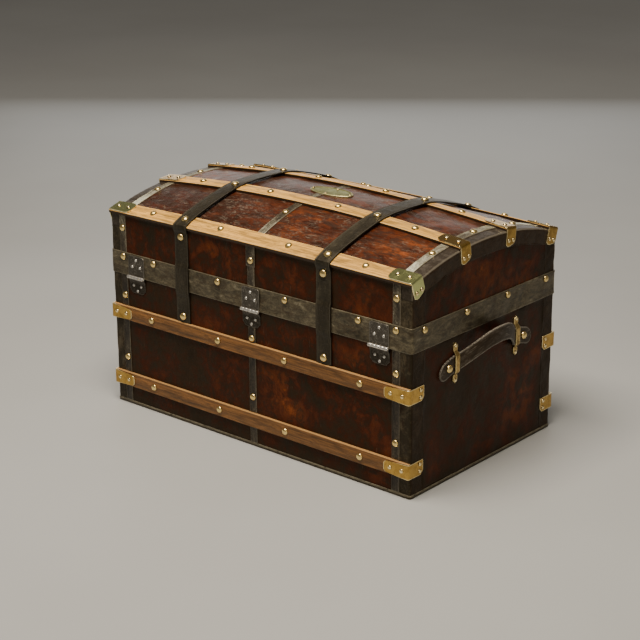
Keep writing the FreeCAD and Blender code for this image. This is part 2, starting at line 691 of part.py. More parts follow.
def build_straps():
    """Two straps over the dome and its slats, down both lid walls and over the band."""
    half = size("strap_width") / 2
    slat = size("slat_thickness")
    thick = size("strap_thickness")
    gap = size("skin_gap")
    solids = []
    for x in strap_places:
        outer_y = edge_slat_outer + thick
        bounds = block(x - half, x + half, -outer_y, outer_y, lid_base + 60, ABOVE)
        strap = layer(slat, slat + thick, bounds)
        slat_foot = min(dome_point(edge, edge_slat_outer, 0)[0].z for edge in (x - half, x + half))
        for side in SIDES:
            drop = block(x - half, x + half, side * edge_slat_outer, side * outer_y, slat_foot, ABOVE)
            wall = strap_wall(side, x, [
                (edge_slat_outer, slat_foot + 1), (edge_slat_outer, slat_foot - 2),
                (half_depth + gap, slat_foot - 9), (half_depth + gap, band_top + 8),
                (band_y + gap, band_top + 1), (band_y + gap, lid_base)])
            strap = strap.fuse(under_dome(slat + thick, drop)).fuse(wall)
        solids.append(one(strap.removeSplitter()))
    shaped("lid_straps", solids)


def build_strap_ends():
    """The straps' lower ends on the back of the body, down to the upper slat."""
    gap = size("skin_gap")
    slat_top = slat_heights(1)[1] + size("slat_width") / 2
    solids = []
    for x in strap_places:
        solids.append(strap_wall(1, x, [(band_y + gap, seam), (band_y + gap, seam - 6),
                                        (half_depth + gap, seam - 16), (half_depth + gap, slat_top + gap)]))
    shaped("back_strap_ends", solids)


# ---------------------------------------------------------------- brass clips
def build_body_clips():
    """An angle clip at both ends of every body slat."""
    half = size("slat_width") / 2
    thin = size("clip_thickness")
    body = doc.addObject("PartDesign::Body", "clip_pattern")
    sketch = new_sketch(body, "XY_Plane", "clip_angle")
    reach = size("slat_thickness") + size("body_clip_return")
    draw_outline(sketch, [(0, 0), (-size("clip_length"), 0), (-size("clip_length"), -thin),
                          (thin, -thin), (thin, reach), (0, reach)])
    pad = add_pad(body, sketch, "sizes.slat_width", symmetric=True)
    doc.recompute()
    short = [(i, e) for i, e in enumerate(pad.Shape.Edges, start=1)
             if e.BoundBox.ZLength < 0.01 and e.Length < thin + 0.1]
    ends = ["Edge%d" % i for i, e in short if abs(e.BoundBox.XMin + size("clip_length")) < 0.01
            and e.BoundBox.YLength > thin / 2]
    rounding = body.newObject("PartDesign::Fillet", "clip_ends")
    rounding.Base = (pad, ends)
    rounding.setExpression("Radius", "sizes.clip_rounding")
    body.Tip = rounding
    doc.recompute()
    foot = ["Edge%d" % i for i, e in enumerate(rounding.Shape.Edges, start=1)
            if abs(e.BoundBox.YMax - reach) < 0.01 and e.BoundBox.XLength > thin / 2
            and e.BoundBox.ZLength < 0.01 and e.BoundBox.YLength < 0.01 and e.BoundBox.ZMax < 0]
    corner = body.newObject("PartDesign::Chamfer", "clip_corner")
    corner.Base = (rounding, foot)
    corner.setExpression("Size", "sizes.clip_chamfer")
    body.Tip = corner
    doc.recompute()
    pattern = one(body.Shape)
    solids = []
    for side_y in SIDES:
        for height in slat_heights(side_y):
            for side_x in SIDES:
                clip = pattern.copy()
                if side_x < 0:
                    clip = clip.mirror(Vector(0, 0, 0), Vector(1, 0, 0))
                if side_y > 0:
                    clip = clip.mirror(Vector(0, 0, 0), Vector(0, 1, 0))
                clip.translate(Vector(side_x * half_length, side_y * slat_face, height))
                solids.append(clip)
    assert abs(solids[0].BoundBox.ZLength - 2 * half) < 0.01
    shaped("body_slat_clips", solids)


def clip_leg_outline(middle, width, drop):
    """Outline of a lid clip's end leg in (y, z), square to the slat at its middle."""
    point, normal = dome_point(half_length, middle, size("slat_thickness"))
    along = Vector(0, normal.z, -normal.y)
    if middle < 0:
        along = Vector(0, -normal.z, normal.y)
    half = width / 2
    shape = [(-half, 8), (half, 8), (half, -drop + 12), (half - 5, -drop + 3), (half - 11, -drop),
             (-half + 8, -drop + 5), (-half + 2, -drop + 11), (-half, -drop + 18)]
    outline = []
    for across, up in shape:
        spot = point + along * across + Vector(0, normal.y, normal.z) * up
        outline.append((spot.y, spot.z))
    return outline


def build_lid_clips():
    """A clip over both ends of every lid slat and down the end face."""
    lift = size("slat_thickness")
    thin = size("clip_thickness")
    nose = size("slat_width") * 0.35
    solids = []
    for name, low, high in slat_rows():
        middle = (low + high) / 2
        for side in SIDES:
            outer = side * (half_length + thin)
            inner = side * (half_length - size("clip_length"))
            bounds = block(inner, outer, low, high, lid_base + 60, ABOVE)
            nosed = [e for e in bounds.Edges
                     if abs(e.tangentAt(e.FirstParameter).z) > 0.9 and abs(e.BoundBox.XMin - inner) < 0.01]
            top = layer(lift, lift + thin, bounds.makeFillet(nose, nosed))
            leg = prism_yz(clip_leg_outline(middle, size("slat_width"), size("lid_clip_return")),
                           side * half_length, outer)
            leg = leg.common(block(-ABOVE, ABOVE, low - 30, high + 30, 0, ABOVE)).common(dome(lift + thin))
            band = block(-ABOVE, ABOVE, low, high, 0, ABOVE)
            upper = leg.common(dome(lift)).fuse(leg.common(band))
            solids.append(one(top.fuse(upper).removeSplitter()))
    shaped("lid_slat_clips", solids)


# ---------------------------------------------------------------- hinges
def knuckle_spans(middle):
    """Five equal knuckles across a hinge: (start, end, belongs to the lid)."""
    play = size("knuckle_play")
    width = size("hinge_width")
    step = (width + play) / 5
    spans = []
    for index in range(5):
        start = middle - width / 2 + index * step
        spans.append((start, start + step - play, index % 2 == 0))
    return spans


def leaf(middle, profile, on_lid):
    """One hinge leaf with its knuckles, relieved round the other leaf's knuckles."""
    half = size("hinge_width") / 2
    solid = prism_yz(profile, middle - half, middle + half)
    play = size("knuckle_play")
    for start, end, lid_side in knuckle_spans(middle):
        if lid_side == on_lid:
            solid = solid.fuse(rod_x(size("knuckle_radius"), start, end, hinge_y, hinge_z))
        else:
            relief = rod_x(size("knuckle_radius") + play, start - play, end + play, hinge_y, hinge_z)
            solid = solid.cut(relief)
    bore = rod_x(size("pin_radius") + size("pin_play"), middle - half - 1, middle + half + 1, hinge_y, hinge_z)
    return solid.cut(bore)


def clipped_corners(solid, middle, z, up, cut):
    """Take the two free corners off a leaf."""
    half = size("hinge_width") / 2
    for side in SIDES:
        corner = [(side * half, z), (side * (half - cut), z), (side * half, z + up * cut)]
        wire = Part.makePolygon([Vector(middle + x, half_depth - 5, h) for x, h in corner + corner[:1]])
        solid = solid.cut(Part.Face(wire).extrude(Vector(0, 30, 0)))
    return solid


def build_hinges():
    """Three butt hinges on the back: a leaf on the band, a cranked leaf on the body, a pin."""
    thin = size("leaf_thickness")
    top = lid_base + size("hinge_leaf_height")
    foot = seam - size("hinge_lower_height")
    crank = seam - size("knuckle_radius") * 2.5
    uppers = []
    lowers = []
    pins = []
    for middle in hinge_places:
        plate = [(band_y, lid_base), (band_y + thin, lid_base), (band_y + thin, top), (band_y, top)]
        upper = leaf(middle, plate, True)
        uppers.append(one(clipped_corners(upper, middle, top, -1, 4)))
        angle = [(half_depth, foot), (half_depth + thin, foot), (half_depth + thin, crank),
                 (hinge_y + 0.6, seam - 3), (hinge_y - 2.4, seam - 0.6), (half_depth, crank + 3)]
        lower = leaf(middle, angle, False)
        lowers.append(one(clipped_corners(lower, middle, foot, 1, 9)))
        half = size("hinge_width") / 2
        pins.append(rod_x(size("pin_radius"), middle - half - 1, middle + half + 1, hinge_y, hinge_z))
    shaped("hinge_upper_leaves", uppers)
    shaped("hinge_lower_leaves", lowers)
    shaped("hinge_pins", pins)


# ---------------------------------------------------------------- handles
def build_bridges():
    """Brass straps that arch over the handle's flat ends, two at each end of the trunk."""
    mid = handle_z
    reach = size("bridge_reach")
    thin = size("bridge_thickness")
    inner_half = size("handle_width") / 2 + 1
    rise = size("tab_thickness") + 1.5
    body = doc.addObject("PartDesign::Body", "bridge_pattern")
    sketch = new_sketch(body, "XZ_Plane", "bridge_arch")
    arch = [(0, reach), (thin, reach), (thin, inner_half + rise), (rise + thin, inner_half + thin),
            (rise + thin, -inner_half - thin), (thin, -inner_half - rise), (thin, -reach), (0, -reach),
            (0, -inner_half - rise + thin), (rise, -inner_half), (rise, inner_half),
            (0, inner_half + rise - thin)]
    draw_outline(sketch, arch)
    pad = add_pad(body, sketch, "sizes.bridge_width", symmetric=True)
    doc.recompute()
    tips = [("Edge%d" % (i + 1)) for i, e in enumerate(pad.Shape.Edges)
            if e.Length < thin + 0.1 and e.BoundBox.XLength > thin - 0.1 and e.BoundBox.ZLength < 0.01
            and abs(abs(e.BoundBox.ZMin) - reach) < 0.01]
    point = body.newObject("PartDesign::Chamfer", "bridge_points")
    point.Base = (pad, tips)
    point.setExpression("Size", "sizes.bridge_width * 0.45")
    body.Tip = point
    doc.recompute()
    pattern = one(body.Shape)
    solids = []
    for side in SIDES:
        for end in SIDES:
            bridge = pattern.copy()
            if side < 0:
                bridge = bridge.mirror(Vector(0, 0, 0), Vector(1, 0, 0))
            bridge.translate(Vector(side * half_length, end * size("bridge_offset"), mid))
            solids.append(bridge)
    shaped("handle_bridges", solids)


def grip_solid():
    """The bowed leather grip on the right end, between its flat ends."""
    width = size("handle_width")
    thick = size("handle_thickness")
    base = Vector(half_length + size("neck_radius") + 0.5, 0, handle_z)
    reach = size("tab_start")
    bow = size("handle_bow")
    start = base + Vector(0, -reach, 0)
    end = base + Vector(0, reach, 0)
    arc = Part.Arc(start, base + Vector(bow, 0, size("handle_rise")), end).toShape()
    path = Part.Wire([arc])
    along = arc.tangentAt(arc.FirstParameter)
    flat = Vector(0, 0, 1)
    across = along.cross(flat)
    across.normalize()
    corners = [start + across * (a * thick / 2) + flat * (b * width / 2)
               for a, b in ((-1, -1), (1, -1), (1, 1), (-1, 1), (-1, -1))]
    sweep = Part.BRepOffsetAPI.MakePipeShell(path)
    sweep.setBiNormalMode(flat)
    sweep.add(Part.makePolygon(corners))
    sweep.build()
    sweep.makeSolid()
    strip = sweep.shape()
    length = size("neck_length")
    stop = reach - length / 2
    grip = strip.common(block(half_length + 0.6, half_length + 3 * bow, -stop, stop, 0, ABOVE))
    for side in SIDES:
        root = base + Vector(0, side * reach, 0)
        neck = Part.makeCylinder(size("neck_radius"), length, root, Vector(0, -side, 0))
        grip = grip.fuse(neck)
    return one(grip.removeSplitter())


def build_handles():
    """Both leather handles: the grips, which swing, and the flat ends under the bridges."""
    right = grip_solid()
    left = right.mirror(Vector(0, 0, 0), Vector(1, 0, 0))
    shaped("right_handle_grip", [right])
    shaped("left_handle_grip", [left])
    half = size("handle_width") / 2
    mid = handle_z
    tabs = []
    for side in SIDES:
        for end in SIDES:
            inner = side * half_length
            outer = side * (half_length + size("tab_thickness"))
            top = [(end * size("tab_start"), mid + half), (end * tab_bend, mid + half),
                   (end * size("tab_end"), mid + half - size("tab_droop"))]
            low = [(y, z - size("handle_width")) for y, z in reversed(top)]
            tab = prism_yz(top + low, *sorted((inner, outer)))
            tip = [e for e in tab.Edges if abs(e.tangentAt(e.FirstParameter).x) > 0.9
                   and abs(abs(e.BoundBox.YMin) - size("tab_end")) < 0.01]
            tabs.append(tab.makeFillet(half * 0.9, tip))
    shaped("handle_tabs", tabs)


# ---------------------------------------------------------------- stays
def stay_arc(inner, outer, low, high, x0, x1):
    """A ring sector about the hinge axis; angles count upwards from the level towards the front."""
    ring = rod_x(outer, x0, x1, hinge_y, hinge_z).cut(rod_x(inner, x0 - 1, x1 + 1, hinge_y, hinge_z))
    reach = outer * 3
    wedge = [(hinge_y, hinge_z)]
    steps = 4
    for index in range(steps + 1):
        angle = math.radians(low + (high - low) * index / steps)
        wedge.append((hinge_y - reach * math.cos(angle), hinge_z + reach * math.sin(angle)))
    return ring.common(prism_yz(wedge, x0 - 1, x1 + 1))


def build_stays():
    """Quadrant stays on the lid's ends, and the guides on the body that they slide through."""
    mean = size("stay_radius")
    half = size("stay_width") / 2
    thick = size("stay_thickness")
    play = size("guide_play")
    low = -size("stay_low_angle")
    guide_high = -size("guide_angle")
    guide_low = guide_high - size("guide_span")
    wall = size("guide_wall")
    stays = []
    guides = []
    for side in SIDES:
        x0 = room_x - thick - play
        x1 = room_x - play
        if side < 0:
            x0, x1 = -x1, -x0
        arm = stay_arc(mean - half, mean + half, low, size("stay_top_angle"), x0, x1)
        stop = stay_arc(mean - 2 * half, mean, low, low + size("stay_stop_angle"), x0, x1)
        foot = stay_arc(mean - half, mean + half, size("stay_foot_angle"), size("stay_top_angle"),
                        min(x0, side * room_x), max(x1, side * room_x))
        stays.append(one(arm.fuse(stop).fuse(foot).removeSplitter()))
        outer0, outer1 = sorted((side * room_x, side * (room_x - thick - 2 * play - wall)))
        rim = half + play + wall
        loop = stay_arc(mean - rim, mean + rim, guide_low, guide_high, outer0, outer1)
        slot0, slot1 = sorted((side * (room_x + 1), side * (room_x - thick - 2 * play)))
        slot = stay_arc(mean - half - play, mean + half + play, guide_low - 5, guide_high + 5, slot0, slot1)
        guides.append(one(loop.cut(slot)))
    shaped("quadrant_stays", stays)
    shaped("stay_guides", guides)


# ---------------------------------------------------------------- lock
def tongue_places():
    """Middle of each link tongue, from mid length."""
    return [side * size("tongue_offset") for side in SIDES]


def build_lock():
    """Box lock inside the front wall, its bolt, and the link plate on the lid."""
    half = size("lock_width") / 2
    wall = size("lock_wall")
    back = -room_y
    front = back + size("lock_depth")
    middle = back + size("lock_depth") / 2
    top = seam - size("lock_top_gap")
    foot = top - size("lock_height")
    half_tongue = size("tongue_thickness") / 2
    half_width = size("tongue_width") / 2
    tip = top - size("tongue_length")
    eye_low = tip + size("eye_margin")
    eye_high = eye_low + size("eye_height")
    bar_top = tip - size("bolt_gap")
    bar_foot = bar_top - size("bolt_height")
    half_bolt = size("bolt_width") / 2

    case = block(-half, half, back, front, foot, top)
    hollow = block(-half + wall, half - wall, back + wall, front - wall, foot + wall, top - wall)
    key = Part.makeCylinder(size("keyhole_radius"), wall * 2, Vector(0, back - wall / 2, keyhole_z),
                            Vector(0, 1, 0))
    case = case.cut(hollow).cut(key)
    room = half_tongue + size("slot_side_play")
    swing = half_width + size("slot_swing_play")
    for x in tongue_places():
        case = case.cut(block(x - room, x + room, middle - swing, middle + swing, top - 2 * wall, top + 1))
    play = size("bolt_play")
    rim = size("bolt_guide_rim")
    guide_end = size("tongue_offset") - half_tongue - size("hook_gap") - size("hook_length") - play - rim
    guide = block(guide_end - size("bolt_guide_width"), guide_end, back + wall / 2, front - wall / 2,
                  bar_foot - rim, bar_top + rim)
    channel = block(-half, half, middle - half_bolt - play, middle + half_bolt + play,
                    bar_foot - play, bar_top + play)
    shaped("lock_case", [one(case.fuse(guide.cut(channel)).removeSplitter())])

    plate_foot = lid_base + size("link_gap")
    plate = block(-half, half, back, back + wall, plate_foot, plate_foot + size("link_height"))
    link = plate.fuse(block(-half, half, back, front, plate_foot, plate_foot + wall))
    for x in tongue_places():
        tongue = block(x - half_tongue, x + half_tongue, middle - half_width, middle + half_width,
                       tip, plate_foot + wall / 2)
        eye = block(x - room, x + room, middle - size("eye_width") / 2, middle + size("eye_width") / 2,
                    eye_low, eye_high)
        link = link.fuse(tongue.cut(eye))
    shaped("link_plate", [one(link.removeSplitter())])

    bar = None
    hook_foot = eye_low + size("hook_play")
    hook_top = eye_high - size("hook_play")
    for x in tongue_places():
        hook_tip = x - half_tongue - size("hook_gap")
        hook_start = hook_tip - size("hook_length")
        post = block(hook_start, hook_start + size("hook_post"), middle - half_bolt, middle + half_bolt,
                     bar_top - size("bolt_height") / 2, hook_top)
        hook = block(hook_start, hook_tip, middle - half_bolt, middle + half_bolt, hook_foot, hook_top)
        bar_part = block(-size("tongue_offset") - half_tongue - size("hook_gap") - size("hook_length"), hook_tip,
                         middle - half_bolt, middle + half_bolt, bar_foot, bar_top)
        grown = post.fuse(hook).fuse(bar_part)
        bar = grown if bar is None else bar.fuse(grown)
    shaped("lock_bolt", [one(bar.removeSplitter())])


def build_escutcheon():
    """Keyhole plate on the front with a pivot stud, and the drop cover that hangs on it."""
    face = -half_depth
    thin = size("escutcheon_thickness")
    body = doc.addObject("PartDesign::Body", "keyhole_blank")
    sketch = new_sketch(body, "XZ_Plane", "keyhole_blank_face")
    draw_rectangle(sketch, "sizes.escutcheon_width", "sizes.escutcheon_height")
    pad = add_pad(body, sketch, "sizes.escutcheon_thickness")
    doc.recompute()
    corners = ["Edge%d" % i for i, e in enumerate(pad.Shape.Edges, start=1) if e.BoundBox.YLength > thin - 0.01]
    rounding = body.newObject("PartDesign::Fillet", "keyhole_blank_corners")
    rounding.Base = (pad, corners)
    rounding.setExpression("Radius", "sizes.escutcheon_width * 0.3")
    body.Tip = rounding
    doc.recompute()
    plate = one(body.Shape).copy()
    plate.translate(Vector(0, face, keyhole_z))
    outward = Vector(0, -1, 0)
    radius = size("keyhole_radius")
    hole = Part.makeCylinder(radius, 4 * thin, Vector(0, face + thin, keyhole_z), outward)
    slot = block(-radius * 0.45, radius * 0.45, face - 2 * thin, face + thin, keyhole_z - radius * 2.6, keyhole_z)
    cover = size("cover_thickness")
    gap = size("cover_gap")
    seat = face - thin
    stud = Part.makeCylinder(size("cover_stud_radius"), cover + 2 * gap, Vector(0, seat, cover_pivot_z), outward)
    head = Part.makeCylinder(size("cover_head_radius"), size("cover_head"),
                             Vector(0, seat - cover - 2 * gap, cover_pivot_z), outward)
    shaped("keyhole_plate", [one(plate.cut(hole).cut(slot).fuse(stud).fuse(head).removeSplitter())])
    back = seat - gap
    low = keyhole_z - radius / 2
    top = Part.makeCylinder(size("cover_eye_radius"), cover, Vector(0, back, cover_pivot_z), outward)
    drop = Part.makeCylinder(size("cover_radius"), cover, Vector(0, back, low), outward)
    wide = size("cover_radius") * 0.98
    narrow = size("cover_eye_radius") * 0.98
    outline = [(-narrow, cover_pivot_z), (narrow, cover_pivot_z), (wide, low), (-wide, low)]
    wire = Part.makePolygon([Vector(x, back, z) for x, z in outline + outline[:1]])
    web = Part.Face(wire).extrude(outward * cover)
    bore = Part.makeCylinder(size("cover_stud_radius") + size("pin_play"), 4 * cover,
                             Vector(0, back + cover, cover_pivot_z), outward)
    shaped("keyhole_cover", [one(top.fuse(drop).fuse(web).cut(bore).removeSplitter())])


def build_oval_plate():
    """The bare oval plate, bent to the dome's crown."""
    shaped("oval_plate", [one(layer(0, size("plate_thickness"), plate_bounds()))])


# ---------------------------------------------------------------- nails
def dome_nail(nail, x, y, lift):
    """A nail set on the dome surface raised by lift."""
    point, normal = dome_point(x, y, lift)
    return set_on(nail, point, normal)


def side_nail(nail, x, side, out, z):
    """A nail on a long face, its seat at a distance out from the middle plane."""
    return set_on(nail, Vector(x, side * out, z), Vector(0, side, 0))


def end_nail(nail, side, out, y, z):
    """A nail on an end face."""
    return set_on(nail, Vector(side * out, y, z), Vector(side, 0, 0))


def build_nails():
    """Every nail head, grouped by what it fastens."""
    plain = nail_body("dome_nail_pattern", "nail_diameter", "nail_rise")
    large = nail_body("strap_nail_pattern", "strap_nail_diameter", "strap_nail_rise")
    small = nail_body("clip_nail_pattern", "clip_nail_diameter", "clip_nail_rise")
    tack = nail_body("tack_pattern", "tack_diameter", "tack_rise")
    slat = size("slat_thickness")
    strip_face = half_depth + size("strip_thickness")

    body_nails = []
    for side in SIDES:
        for height in slat_heights(side):
            body_nails += [side_nail(plain, x, side, slat_face, height) for x in slat_nail_places]
        lower, upper = slat_heights(side)
        for x in strip_places:
            if side > 0 or x != 0:
                drop = upper + size("slat_width") / 2 + size("nail_diameter") / 2 + 1.5
                height = drop if x == 0 else seam - size("strip_nail_drop")
                body_nails.append(side_nail(plain, x, side, strip_face, height))
            body_nails.append(side_nail(plain, x, side, strip_face, size("low_strip_nail")))
    shaped("body_dome_nails", body_nails)

    lid_nails = []
    for name, low, high in slat_rows():
        middle = (low + high) / 2
        lid_nails += [dome_nail(plain, x, middle, slat) for x in slat_nail_places]
    rows = slat_rows()
    for x in strip_places:
        spots = [-size("dome_strip_nail"), size("dome_strip_nail")] + ([0] if x != 0 else [])
        lid_nails += [dome_nail(plain, x, y, size("strip_thickness")) for y in spots]
        for side in SIDES:
            lid_nails.append(side_nail(plain, x, side, strip_face, band_top + size("wall_strip_nail")))
    band_z = band_top - size("band_nail_drop")
    for side in SIDES:
        for x in (-strip_offset, -band_nail_offset, -size("inner_nail"),
                  size("inner_nail"), band_nail_offset, strip_offset):
            lid_nails.append(side_nail(plain, x, side, band_y, band_z))
        for y in (end * size(name) for name in ("end_nail_inner", "end_nail_outer") for end in SIDES):
            lid_nails.append(end_nail(plain, side, band_x, y, band_z))
    shaped("lid_dome_nails", lid_nails)

    strap_face = half_depth + size("skin_gap") + size("strap_thickness")
    strap_nails = []
    for x in strap_places:
        for name, low, high in rows:
            strap_nails.append(dome_nail(large, x, (low + high) / 2, slat + size("strap_thickness")))
        wall_z = band_top + size("wall_strap_nail")
        strap_nails += [side_nail(large, x, side, strap_face, wall_z) for side in SIDES]
        strap_nails.append(side_nail(large, x, -1, band_y + size("skin_gap") + size("strap_thickness"),
                                     lid_base + size("band_height") / 2))
    shaped("strap_nails", strap_nails)
    end_z = slat_heights(1)[1] + size("slat_width") / 2 + size("strap_end_nail")
    shaped("strap_end_nails", [side_nail(large, x, 1, strap_face, end_z) for x in strap_places])

    clip_nails = []
    thin = size("clip_thickness")
    for side_y in SIDES:
        for height in slat_heights(side_y):
            for side_x in SIDES:
                for inset in (16, 46):
                    x = side_x * (half_length - inset)
                    clip_nails.append(side_nail(small, x, side_y, slat_face + thin, height))
                for up in (-8, 8):
                    y = side_y * (half_depth - size("body_clip_return") + 8)
                    clip_nails.append(end_nail(small, side_x, half_length + thin, y, height + up))
    for side in SIDES:
        for end in SIDES:
            for up in SIDES:
                z = handle_z + up * (size("bridge_reach") - size("clip_nail_diameter") / 2 - 1.5)
                clip_nails.append(end_nail(small, side, half_length + size("bridge_thickness"),
                                           end * size("bridge_offset"), z))
    shaped("body_clip_nails", clip_nails)

    lid_clip_nails = []
    for name, low, high in rows:
        middle = (low + high) / 2
        point, normal = dome_point(half_length, middle, slat)
        for side in SIDES:
            for inset in (16, 46):
                lid_clip_nails.append(dome_nail(small, side * (half_length - inset), middle, slat + thin))
            for across in SIDES:
                aside = Vector(0, normal.z, -normal.y) * across * 8
                spot = point - normal * (size("lid_clip_return") - 13) + aside
                lid_clip_nails.append(end_nail(small, side, half_length + thin, spot.y, spot.z))
    shaped("lid_clip_nails", lid_clip_nails)

    handle_studs = [end_nail(large, side, half_length + size("tab_thickness"), end * size("stud_offset"),
                             stud_z) for side in SIDES for end in SIDES]
    shaped("handle_studs", handle_studs)

    lid_tacks = []
    body_tacks = []
    upper_face = band_y + size("leaf_thickness")
    lower_face = half_depth + size("leaf_thickness")
    for middle in hinge_places:
        for across, up in ((-12, 24), (12, 24), (0, 40)):
            lid_tacks.append(side_nail(tack, middle + across, 1, upper_face, lid_base + up))
        for across, down in ((-12, 20), (12, 20), (0, 32)):
            body_tacks.append(side_nail(tack, middle + across, 1, lower_face, seam - down))
    inset = size("tack_diameter") / 2 + 2
    for x, y in ((-1, 0), (1, 0), (0, -1), (0, 1)):
        along = x * (size("plate_length") / 2 - inset) - size("plate_offset")
        across = y * (size("plate_width") / 2 - inset)
        lid_tacks.append(dome_nail(tack, along, across, size("plate_thickness")))
    across_tack = size("escutcheon_width") / 2 - size("tack_diameter") * 0.9
    up_tack = size("escutcheon_height") / 2 - size("tack_diameter")
    for across, up in ((sx * across_tack, sz * up_tack) for sx in SIDES for sz in SIDES):
        spot = side_nail(tack, across, -1, half_depth + size("escutcheon_thickness"), keyhole_z + up)
        body_tacks.append(spot)
    shaped("lid_tacks", lid_tacks)
    shaped("body_tacks", body_tacks)


# ---------------------------------------------------------------- build, check, write
for build in (build_body_boards, build_body_lining, build_body_leather, build_body_slats, build_body_strips,
              build_lid_boards, build_lid_lining, build_lid_leather, build_rim_band, build_lid_slats,
              build_lid_strips, build_straps, build_strap_ends, build_body_clips, build_lid_clips,
              build_hinges, build_bridges, build_handles, build_stays, build_lock, build_escutcheon,
              build_oval_plate, build_nails):
    build()
doc.recompute()

for thing in doc.Objects:
    assert "Invalid" not in thing.State and "Error" not in thing.State, "%s failed" % thing.Name
os.makedirs("parts", exist_ok=True)
for name, thing in sorted(pieces.items()):
    assert not thing.Shape.isNull() and thing.Shape.isValid(), "%s has a bad shape" % name
for name, thing in sorted(pieces.items()):
    thing.Shape.exportStep("parts/%s.step" % name)
print("%d pieces written" % len(pieces))
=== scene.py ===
"""Dome top travelling trunk: the looks of every piece, laid round the packed model.

Laid out as an add-on: one operator for each piece or group of like pieces, and one for the stage.
Shapes are worked out in millimetres in the trunk's own frame and turned into metres as meshes are made.
"""
import math
from functools import partial

import bmesh
import bpy
import numpy as np
from bpy.props import FloatProperty, FloatVectorProperty, PointerProperty
from bpy.types import Operator, Panel, PropertyGroup
from mathutils import Matrix, Vector


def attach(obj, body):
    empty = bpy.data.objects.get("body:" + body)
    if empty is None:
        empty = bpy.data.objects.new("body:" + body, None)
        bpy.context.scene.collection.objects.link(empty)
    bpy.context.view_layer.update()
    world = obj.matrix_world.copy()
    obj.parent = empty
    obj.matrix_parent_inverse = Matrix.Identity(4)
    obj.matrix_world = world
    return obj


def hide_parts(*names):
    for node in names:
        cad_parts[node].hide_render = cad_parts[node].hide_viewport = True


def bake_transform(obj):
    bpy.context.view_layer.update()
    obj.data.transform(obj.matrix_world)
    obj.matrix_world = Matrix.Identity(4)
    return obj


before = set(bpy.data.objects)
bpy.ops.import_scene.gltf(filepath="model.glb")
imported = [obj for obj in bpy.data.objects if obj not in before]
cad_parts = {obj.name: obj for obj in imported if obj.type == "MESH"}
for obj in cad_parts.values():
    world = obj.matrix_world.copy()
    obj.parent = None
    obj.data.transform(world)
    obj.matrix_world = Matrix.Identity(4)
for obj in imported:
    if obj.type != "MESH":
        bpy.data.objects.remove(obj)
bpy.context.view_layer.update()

bl_info = {
    "name": "Dome top trunk",
    "version": (1, 0, 0),
    "blender": (4, 5, 0),
    "location": "3D View > Sidebar > Trunk",
    "description": "Builds the leather, wood and brass of a dome top travelling trunk",
    "category": "Add Mesh",
}

MM = 0.001
SIDES = (-1, 1)
ARC = math.pi / 2    # a quarter turn


# ---------------------------------------------------------------- sizes and colours
def millimetres(name, description, value):
    """A length that a user may change, kept in metres."""
    return FloatProperty(name=name, description=description, default=value * MM, unit="LENGTH", precision=4)


def colour(name, description, value):
    """A colour that a user may change."""
    return FloatVectorProperty(name=name, description=description, default=value, subtype="COLOR",
                               size=3, min=0.0, max=1.0)


class TrunkSizes(PropertyGroup):
    """The trunk's sizes that a user may change."""
    seam: millimetres("Seam height", "Height where the lid parts from the body", 314)
    lid_foot: millimetres("Lid foot", "Height of the lid's lower edge", 314.4)
    band_top: millimetres("Band top", "Height of the rim band's upper edge", 367.4)
    eave: millimetres("Eave", "Height of the dome's long edge at the ends", 456)
    eave_rise: millimetres("Eave rise", "Extra height of that edge at mid length", 4)
    crown_end: millimetres("Crown at the ends", "Crown above the long edge at the ends", 41.8)
    crown_middle: millimetres("Crown at mid length", "Crown above the long edge at mid length", 62.5)
    corner: millimetres("Corner radius", "Rounding of the upright corners", 5)
    leather: millimetres("Leather", "Thickness of the leather covering", 2)
    slat_width: millimetres("Slat width", "Width of every wooden slat", 33)
    slat_height: millimetres("Slat thickness", "Thickness of every wooden slat", 7)
    strap_width: millimetres("Strap width", "Width of the leather straps", 40)
    strap_offset: millimetres("Strap place", "Middle of each strap from mid length", 204)


class TrunkColours(PropertyGroup):
    """The colours that the finishes start from."""
    leather_dark: colour("Leather, dark", "Waxed leather where it has gone dark", (0.020, 0.0105, 0.0050))
    leather_red: colour("Leather, red", "Red brown of the leather", (0.085, 0.019, 0.0060))
    leather_rust: colour("Leather, rust", "Rust orange where the leather is rubbed", (0.23, 0.058, 0.014))
    black_leather: colour("Corner leather", "Black leather of corners and bindings", (0.044, 0.036, 0.0235))
    strap: colour("Strap leather", "Grey black leather of the straps", (0.036, 0.031, 0.0210))
    handle: colour("Handle leather", "Dark brown leather of the handles", (0.026, 0.0175, 0.0110))
    slat: colour("Lid slats", "Honey coloured wood of the lid's slats", (0.80, 0.44, 0.100))
    body_slat: colour("Body slats", "Red brown wood of the body's slats", (0.24, 0.108, 0.032))
    band: colour("Rim band", "Grey green patina of the metal band", (0.125, 0.105, 0.065))
    lining: colour("Lining", "Cloth lining", (0.36, 0.27, 0.17))


class TrunkStage(PropertyGroup):
    """Light and camera."""
    key: FloatProperty(name="Key light", description="Power of the main soft light", default=178.0, min=0.0)
    fill: FloatProperty(name="Fill light", description="Power of the weaker soft light", default=20.0, min=0.0)
    back: FloatProperty(name="Back light", description="Power of the light behind", default=17.0, min=0.0)
    room: FloatProperty(name="Room light", description="Strength of the light from all round", default=0.17,
                        min=0.0)
    lens: FloatProperty(name="Lens", description="Focal length", default=95.57, min=1.0, unit="CAMERA")


def sizes(name):
    """One of the trunk's sizes, in millimetres."""
    return getattr(bpy.context.scene.trunk_sizes, name) / MM


def tint(name, lightness=1.0):
    """One of the trunk's colours as four numbers, made lighter or darker."""
    red, green, blue = getattr(bpy.context.scene.trunk_colours, name)
    return (red * lightness, green * lightness, blue * lightness, 1.0)


